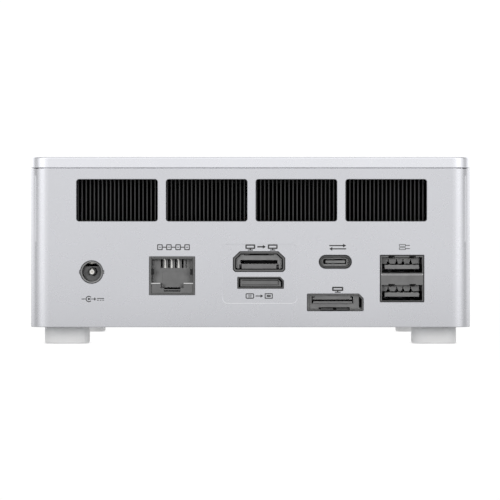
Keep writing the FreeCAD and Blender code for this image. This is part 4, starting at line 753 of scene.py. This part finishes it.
def tube(bm, path, r, n=14, index=0):
    rings = []
    for i, p in enumerate(path):
        t = (path[min(i + 1, len(path) - 1)] - path[max(i - 1, 0)]).normalized()
        u = Vector((0, 1, 0))
        u = (u - t * u.dot(t)).normalized()
        w = t.cross(u)
        rings.append([bm.verts.new(tuple((p + (u * math.cos(2 * math.pi * k / n) + w * math.sin(2 * math.pi * k / n)) * r) * MM)) for k in range(n)])
    for A, B in zip(rings, rings[1:]):
        for k in range(n):
            bm.faces.new((A[k], A[(k + 1) % n], B[(k + 1) % n], B[k])).material_index = index
    bm.faces.new(rings[0][::-1]).material_index = index
    bm.faces.new(rings[-1]).material_index = index


bm = bmesh.new()
for i, y in enumerate((-15.6, -14.7, -13.8, -12.98)):
    tube(bm, wire_path(y, (0.03, -0.03, 0.03, -0.02)[i]), 0.38, 14, i)
lead = finish_mesh("blower_lead_wires", bm, None, "chassis",
                   mats=[wire_material("wire_black", (0.02, 0.02, 0.021)), wire_material("wire_red", (0.42, 0.022, 0.018)),
                         wire_material("wire_yellow", (0.62, 0.42, 0.03)), wire_material("wire_blue", (0.02, 0.06, 0.28))])
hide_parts("blower_lead")

# ---------------------------------------------------------------------------
# small parts on the board's upper side, in the free places between the chips
# ---------------------------------------------------------------------------
BOARD_TOP = 29.2
CELL = 0.5
taken = set()


def mark(x0, x1, y0, y1, grow=0.5):
    for a in range(int(math.floor((x0 - grow) / CELL)), int(math.ceil((x1 + grow) / CELL)) + 1):
        for b in range(int(math.floor((y0 - grow) / CELL)), int(math.ceil((y1 + grow) / CELL)) + 1):
            taken.add((a, b))


def islands(me):
    parent = list(range(len(me.vertices)))

    def root(a):
        while parent[a] != a:
            parent[a] = parent[parent[a]]
            a = parent[a]
        return a
    # loops split at sharp edges share places, so points are joined by place first
    at = {}
    for v in me.vertices:
        key = (round(v.co.x * 1e5), round(v.co.y * 1e5), round(v.co.z * 1e5))
        if key in at:
            parent[root(v.index)] = root(at[key])
        else:
            at[key] = v.index
    for e in me.edges:
        a, b = root(e.vertices[0]), root(e.vertices[1])
        if a != b:
            parent[a] = b
    boxes = {}
    for v in me.vertices:
        r = root(v.index)
        lo, hi = boxes.setdefault(r, ([1e9] * 3, [-1e9] * 3))
        for i in range(3):
            lo[i] = min(lo[i], v.co[i] * 1000)
            hi[i] = max(hi[i], v.co[i] * 1000)
    return list(boxes.values())


WHOLE = ("board_components", "power_stage_parts", "processor_package", "cold_plate")
chips = []
for name, ob in nodes.items():
    if name in ("main_housing", "top_cover", "bottom_cover", "motherboard", "blower_lead"):
        continue
    if name in WHOLE:
        for lo_, hi_ in islands(ob.data):
            if hi_[2] > BOARD_TOP + 0.05 and lo_[2] < BOARD_TOP + 1.4:
                mark(lo_[0], hi_[0], lo_[1], hi_[1])
                if name == "board_components" and min(hi_[0] - lo_[0], hi_[1] - lo_[1]) > 3.0:
                    chips.append((lo_[0], hi_[0], lo_[1], hi_[1]))
    else:
        for v in ob.data.vertices:
            if BOARD_TOP - 0.2 < v.co.z * 1000 < BOARD_TOP + 1.6:
                mark(v.co.x * 1000, v.co.x * 1000, v.co.y * 1000, v.co.y * 1000, 0.9)
for x, y in ((-54.0, -52.0), (54.0, -52.0), (-54.0, 52.0), (54.0, 52.0), (-25.0, -9.0), (25.0, -9.0), (-25.0, 29.0), (25.0, 29.0)):
    mark(x, x, y, y, 3.6)


def block(bm, x0, x1, y0, y1, z0, z1, index):
    vs = [bm.verts.new((x * MM, y * MM, z * MM)) for x, y, z in
          ((x0, y0, z0), (x1, y0, z0), (x1, y1, z0), (x0, y1, z0), (x0, y0, z1), (x1, y0, z1), (x1, y1, z1), (x0, y1, z1))]
    for f in ((0, 3, 2, 1), (4, 5, 6, 7), (0, 1, 5, 4), (1, 2, 6, 5), (2, 3, 7, 6), (3, 0, 4, 7)):
        bm.faces.new([vs[i] for i in f]).material_index = index


def small_part(bm, x, y, l, w, h, along_x, body):
    """Two tinned ends and a body between them, slightly lower and narrower than its ends."""
    a, b = (l / 2, w / 2)
    e = l * 0.24
    z0, z1 = BOARD_TOP - 0.01, BOARD_TOP + h
    spans = [(-a, -a + e, -b, b, z1, 3), (-a + e, a - e, -b + 0.03, b - 0.03, z1 - 0.03, body), (a - e, a, -b, b, z1, 3)]
    for p0, p1, q0, q1, top, ix in spans:
        if along_x:
            block(bm, x + p0, x + p1, y + q0, y + q1, z0, top, ix)
        else:
            block(bm, x + q0, x + q1, y + p0, y + p1, z0, top, ix)


def fits(x, y, hx, hy):
    if abs(x) + hx > 57.5 or abs(y) + hy > 56.0:
        return False
    for a in range(int(math.floor((x - hx) / CELL)), int(math.ceil((x + hx) / CELL)) + 1):
        for b in range(int(math.floor((y - hy) / CELL)), int(math.ceil((y + hy) / CELL)) + 1):
            if (a, b) in taken:
                return False
    return True


k = Mat("ceramic_tan", rough=0.5, color=(0.33, 0.22, 0.13))
k.vary_color(k.noise(800.0, 2.0), (0.28, 0.18, 0.10), (0.40, 0.28, 0.17))
k.vary_rough(k.noise(1600.0, 2.0), 0.42, 0.6)
mat_tan = k.m
k = Mat("ceramic_grey", rough=0.5, color=(0.22, 0.21, 0.20))
k.vary_color(k.noise(800.0, 2.0), (0.18, 0.17, 0.16), (0.27, 0.26, 0.25))
k.vary_rough(k.noise(1600.0, 2.0), 0.42, 0.6)
mat_greyc = k.m
k = Mat("tinned_end", rough=0.28, metal=1.0, color=(0.74, 0.74, 0.75))
k.vary_color(k.noise(900.0, 2.0), (0.66, 0.66, 0.67), (0.80, 0.80, 0.81))
k.vary_rough(k.noise(1900.0, 2.0), 0.22, 0.4)
mat_tin = k.m

bm = bmesh.new()
placed = 0
rng = random.Random(11)
for x0, x1, y0, y1 in sorted(chips):
    for ring_no, gap in enumerate((1.5, 2.9)):
        spots = []
        n_x, n_y = int((x1 - x0) / 1.5), int((y1 - y0) / 1.5)
        for i in range(n_x):
            u = x0 + (i + 0.5) * (x1 - x0) / max(n_x, 1)
            spots += [(u, y0 - gap, False), (u, y1 + gap, False)]
        for i in range(n_y):
            v = y0 + (i + 0.5) * (y1 - y0) / max(n_y, 1)
            spots += [(x0 - gap, v, True), (x1 + gap, v, True)]
        for x, y, along_x in spots:
            if rng.random() < (0.25, 0.5)[ring_no]:
                continue
            l, w, h, body = rng.choice(((1.0, 0.5, 0.42, 0), (1.0, 0.5, 0.30, 2), (0.9, 0.45, 0.40, 1), (1.0, 0.5, 0.5, 0)))
            hx, hy = (l / 2, w / 2) if along_x else (w / 2, l / 2)
            if fits(x, y, hx, hy):
                small_part(bm, x, y, l, w, h, along_x, body)
                mark(x - hx, x + hx, y - hy, y + hy, 0.2)
                placed += 1
for i in range(60):
    x, y = rng.uniform(-56, 56), rng.uniform(-55, 55)
    l, w, h, body = rng.choice(((1.6, 0.8, 0.6, 0), (1.6, 0.8, 0.45, 2), (2.0, 1.25, 0.8, 1)))
    along_x = rng.random() < 0.5
    hx, hy = (l / 2, w / 2) if along_x else (w / 2, l / 2)
    if fits(x, y, hx, hy):
        small_part(bm, x, y, l, w, h, along_x, body)
        mark(x - hx, x + hx, y - hy, y + hy, 0.4)
        placed += 1
print("small board parts:", placed)
finish_mesh("board_small_parts", bm, None, "chassis", smooth=False, bevel=0.04, mats=[mat_tan, mat_greyc, mat_comp, mat_tin])

# ---------------------------------------------------------------------------
# studio: pale floor, soft light
# ---------------------------------------------------------------------------
FLOOR_FADE = 2.2
SOCKET_LAMP = 4.2
SOCKET_NODES = ["dc_jack_body", "dc_jack_pin", "dc_jack_spring", "lan_jack_shell", "lan_jack_insert", "lan_jack_contacts",
                "video_a_shell", "video_a_core", "expansion_shell", "expansion_core", "type_c_rear_shell",
                "type_c_rear_core", "video_b_shell", "video_b_core", "type_a_stack_shell", "type_a_stack_core",
                "type_a_stack_contacts", "front_type_a_shells", "front_type_a_cores", "type_c_front_shell",
                "type_c_front_core", "audio_jack"]
FLOOR_GLOW = [(0.0, grey(0.80)), (0.6, grey(0.64)), (0.80, grey(0.50)), (0.87, grey(0.52)), (1.0, grey(0.54))]
def make_floor():
    bm = bmesh.new()
    bmesh.ops.create_grid(bm, x_segments=2, y_segments=2, size=6.0)
    me = bpy.data.meshes.new("floor")
    bm.to_mesh(me)
    bm.free()
    ob = bpy.data.objects.new("floor", me)
    scene.collection.objects.link(ob)
    k = Mat("floor_paper", rough=0.9, color=grey(0.3))
    k.vary_color(k.noise(30.0, 3.0), grey(0.29), grey(0.31))
    nt = k.nt
    # the paper glows white; what it throws back at the object fades towards the object's foot
    grad = nt.nodes.new("ShaderNodeTexGradient")
    grad.gradient_type = "SPHERICAL"
    nt.links.new(k.coords((FLOOR_FADE, FLOOR_FADE, FLOOR_FADE)), grad.inputs[0])
    glow = k.ramp(grad.outputs[1], FLOOR_GLOW)
    lp = nt.nodes.new("ShaderNodeLightPath")
    mx = nt.nodes.new("ShaderNodeMix")
    mx.data_type = "RGBA"
    nt.links.new(lp.outputs["Is Camera Ray"], mx.inputs[0])
    nt.links.new(glow, mx.inputs[6])
    # soft contact shadow right under the feet and the base
    ao = nt.nodes.new("ShaderNodeAmbientOcclusion")
    ao.samples = 8
    ao.inputs["Distance"].default_value = 0.0022
    nt.links.new(k.ramp(ao.outputs["AO"], [(0.0, grey(0.42)), (0.35, grey(0.74)), (0.75, grey(1.0)), (1.0, grey(1.02))]), mx.inputs[7])
    em = nt.nodes.new("ShaderNodeEmission")
    nt.links.new(mx.outputs[2], em.inputs[0])
    nt.links.new(em.outputs[0], k.out.inputs[0])
    me.materials.append(k.m)

make_floor()

world = bpy.data.worlds.new("studio")
scene.world = world
world.use_nodes = True
wt = world.node_tree
wt.nodes.clear()
wo = wt.nodes.new("ShaderNodeOutputWorld")
bg = wt.nodes.new("ShaderNodeBackground")
bg_cam = wt.nodes.new("ShaderNodeBackground")
bg_cam.inputs[0].default_value = (1, 1, 1, 1)
bg_cam.inputs[1].default_value = 1.05
mix = wt.nodes.new("ShaderNodeMixShader")
lp = wt.nodes.new("ShaderNodeLightPath")
wt.links.new(lp.outputs["Is Camera Ray"], mix.inputs[0])
wt.links.new(bg.outputs[0], mix.inputs[1])
wt.links.new(bg_cam.outputs[0], mix.inputs[2])
wt.links.new(mix.outputs[0], wo.inputs[0])
tc = wt.nodes.new("ShaderNodeTexCoord")
sep = wt.nodes.new("ShaderNodeSeparateXYZ")
wt.links.new(tc.outputs["Generated"], sep.inputs[0])
mr = wt.nodes.new("ShaderNodeMapRange")
mr.inputs["From Min"].default_value = -1.0
mr.inputs["From Max"].default_value = 1.0
wt.links.new(sep.outputs["Y"], mr.inputs[0])
cr = wt.nodes.new("ShaderNodeValToRGB")
els = cr.color_ramp.elements
STOPS = [(0.0, 1.20), (0.14, 1.26), (0.26, 1.18), (0.35, 0.76), (0.43, 0.36), (0.56, 0.30), (0.645, 0.62), (0.74, 1.18), (0.84, 1.56), (0.93, 1.40), (0.975, 0.92),
         (1.0, 0.80)]
while len(els) < len(STOPS):
    els.new(0.5)
for e, (p, v) in zip(els, STOPS):
    e.position = p
    e.color = (v, v, v * 1.005, 1)
wt.links.new(mr.outputs[0], cr.inputs[0])
# the ceiling is a little dimmer than the walls
cz = wt.nodes.new("ShaderNodeValToRGB")
cz.color_ramp.elements[0].position, cz.color_ramp.elements[0].color = 0.55, (1, 1, 1, 1)
cz.color_ramp.elements[1].position, cz.color_ramp.elements[1].color = 0.95, (0.72, 0.72, 0.72, 1)
mz = wt.nodes.new("ShaderNodeMapRange")
mz.inputs["From Min"].default_value = -1.0
mz.inputs["From Max"].default_value = 1.0
wt.links.new(sep.outputs["Z"], mz.inputs[0])
wt.links.new(mz.outputs[0], cz.inputs[0])
mm = wt.nodes.new("ShaderNodeMix")
mm.data_type = "RGBA"
mm.blend_type = "MULTIPLY"
mm.inputs[0].default_value = 1.0
wt.links.new(cr.outputs[0], mm.inputs[6])
wt.links.new(cz.outputs[0], mm.inputs[7])
wt.links.new(mm.outputs[2], bg.inputs[0])
bg.inputs[1].default_value = 1.0


def area(name, loc, target, size, energy, size_y=None):
    ld = bpy.data.lights.new(name, "AREA")
    ld.energy = energy
    ld.size = size
    if size_y:
        ld.shape = "RECTANGLE"
        ld.size_y = size_y
    ob = bpy.data.objects.new(name, ld)
    scene.collection.objects.link(ob)
    ob.location = loc
    d = Vector(target) - Vector(loc)
    ob.rotation_euler = d.to_track_quat("-Z", "Y").to_euler()
    return ob

area("key_top_rear", (0.0, 0.9, 1.3), (0, 0, 0.03), 1.1, 1.2, 0.8).visible_glossy = False
area("fill_front", (0.0, -1.2, 1.0), (0, 0, 0.03), 1.1, 1.2, 0.8).visible_glossy = False
# two narrow lamps that look straight into the sockets and light nothing else
sockets = bpy.data.collections.new("sockets")
for n in SOCKET_NODES:
    sockets.objects.link(nodes[n])
for nm, x, y, e in (("socket_lamp_right", 0.10, 1.1, SOCKET_LAMP), ("socket_lamp_left", -0.10, 1.1, SOCKET_LAMP),
                    ("socket_lamp_front", 0.0, -1.1, SOCKET_LAMP * 2)):
    lamp = area(nm, (x, y, 0.07), (0, math.copysign(0.06, y), 0.02), 0.10, e)
    lamp.light_linking.receiver_collection = sockets
    lamp.visible_glossy = False

scene.view_settings.view_transform = "Standard"
scene.view_settings.look = "None"
scene.view_settings.exposure = 0.0
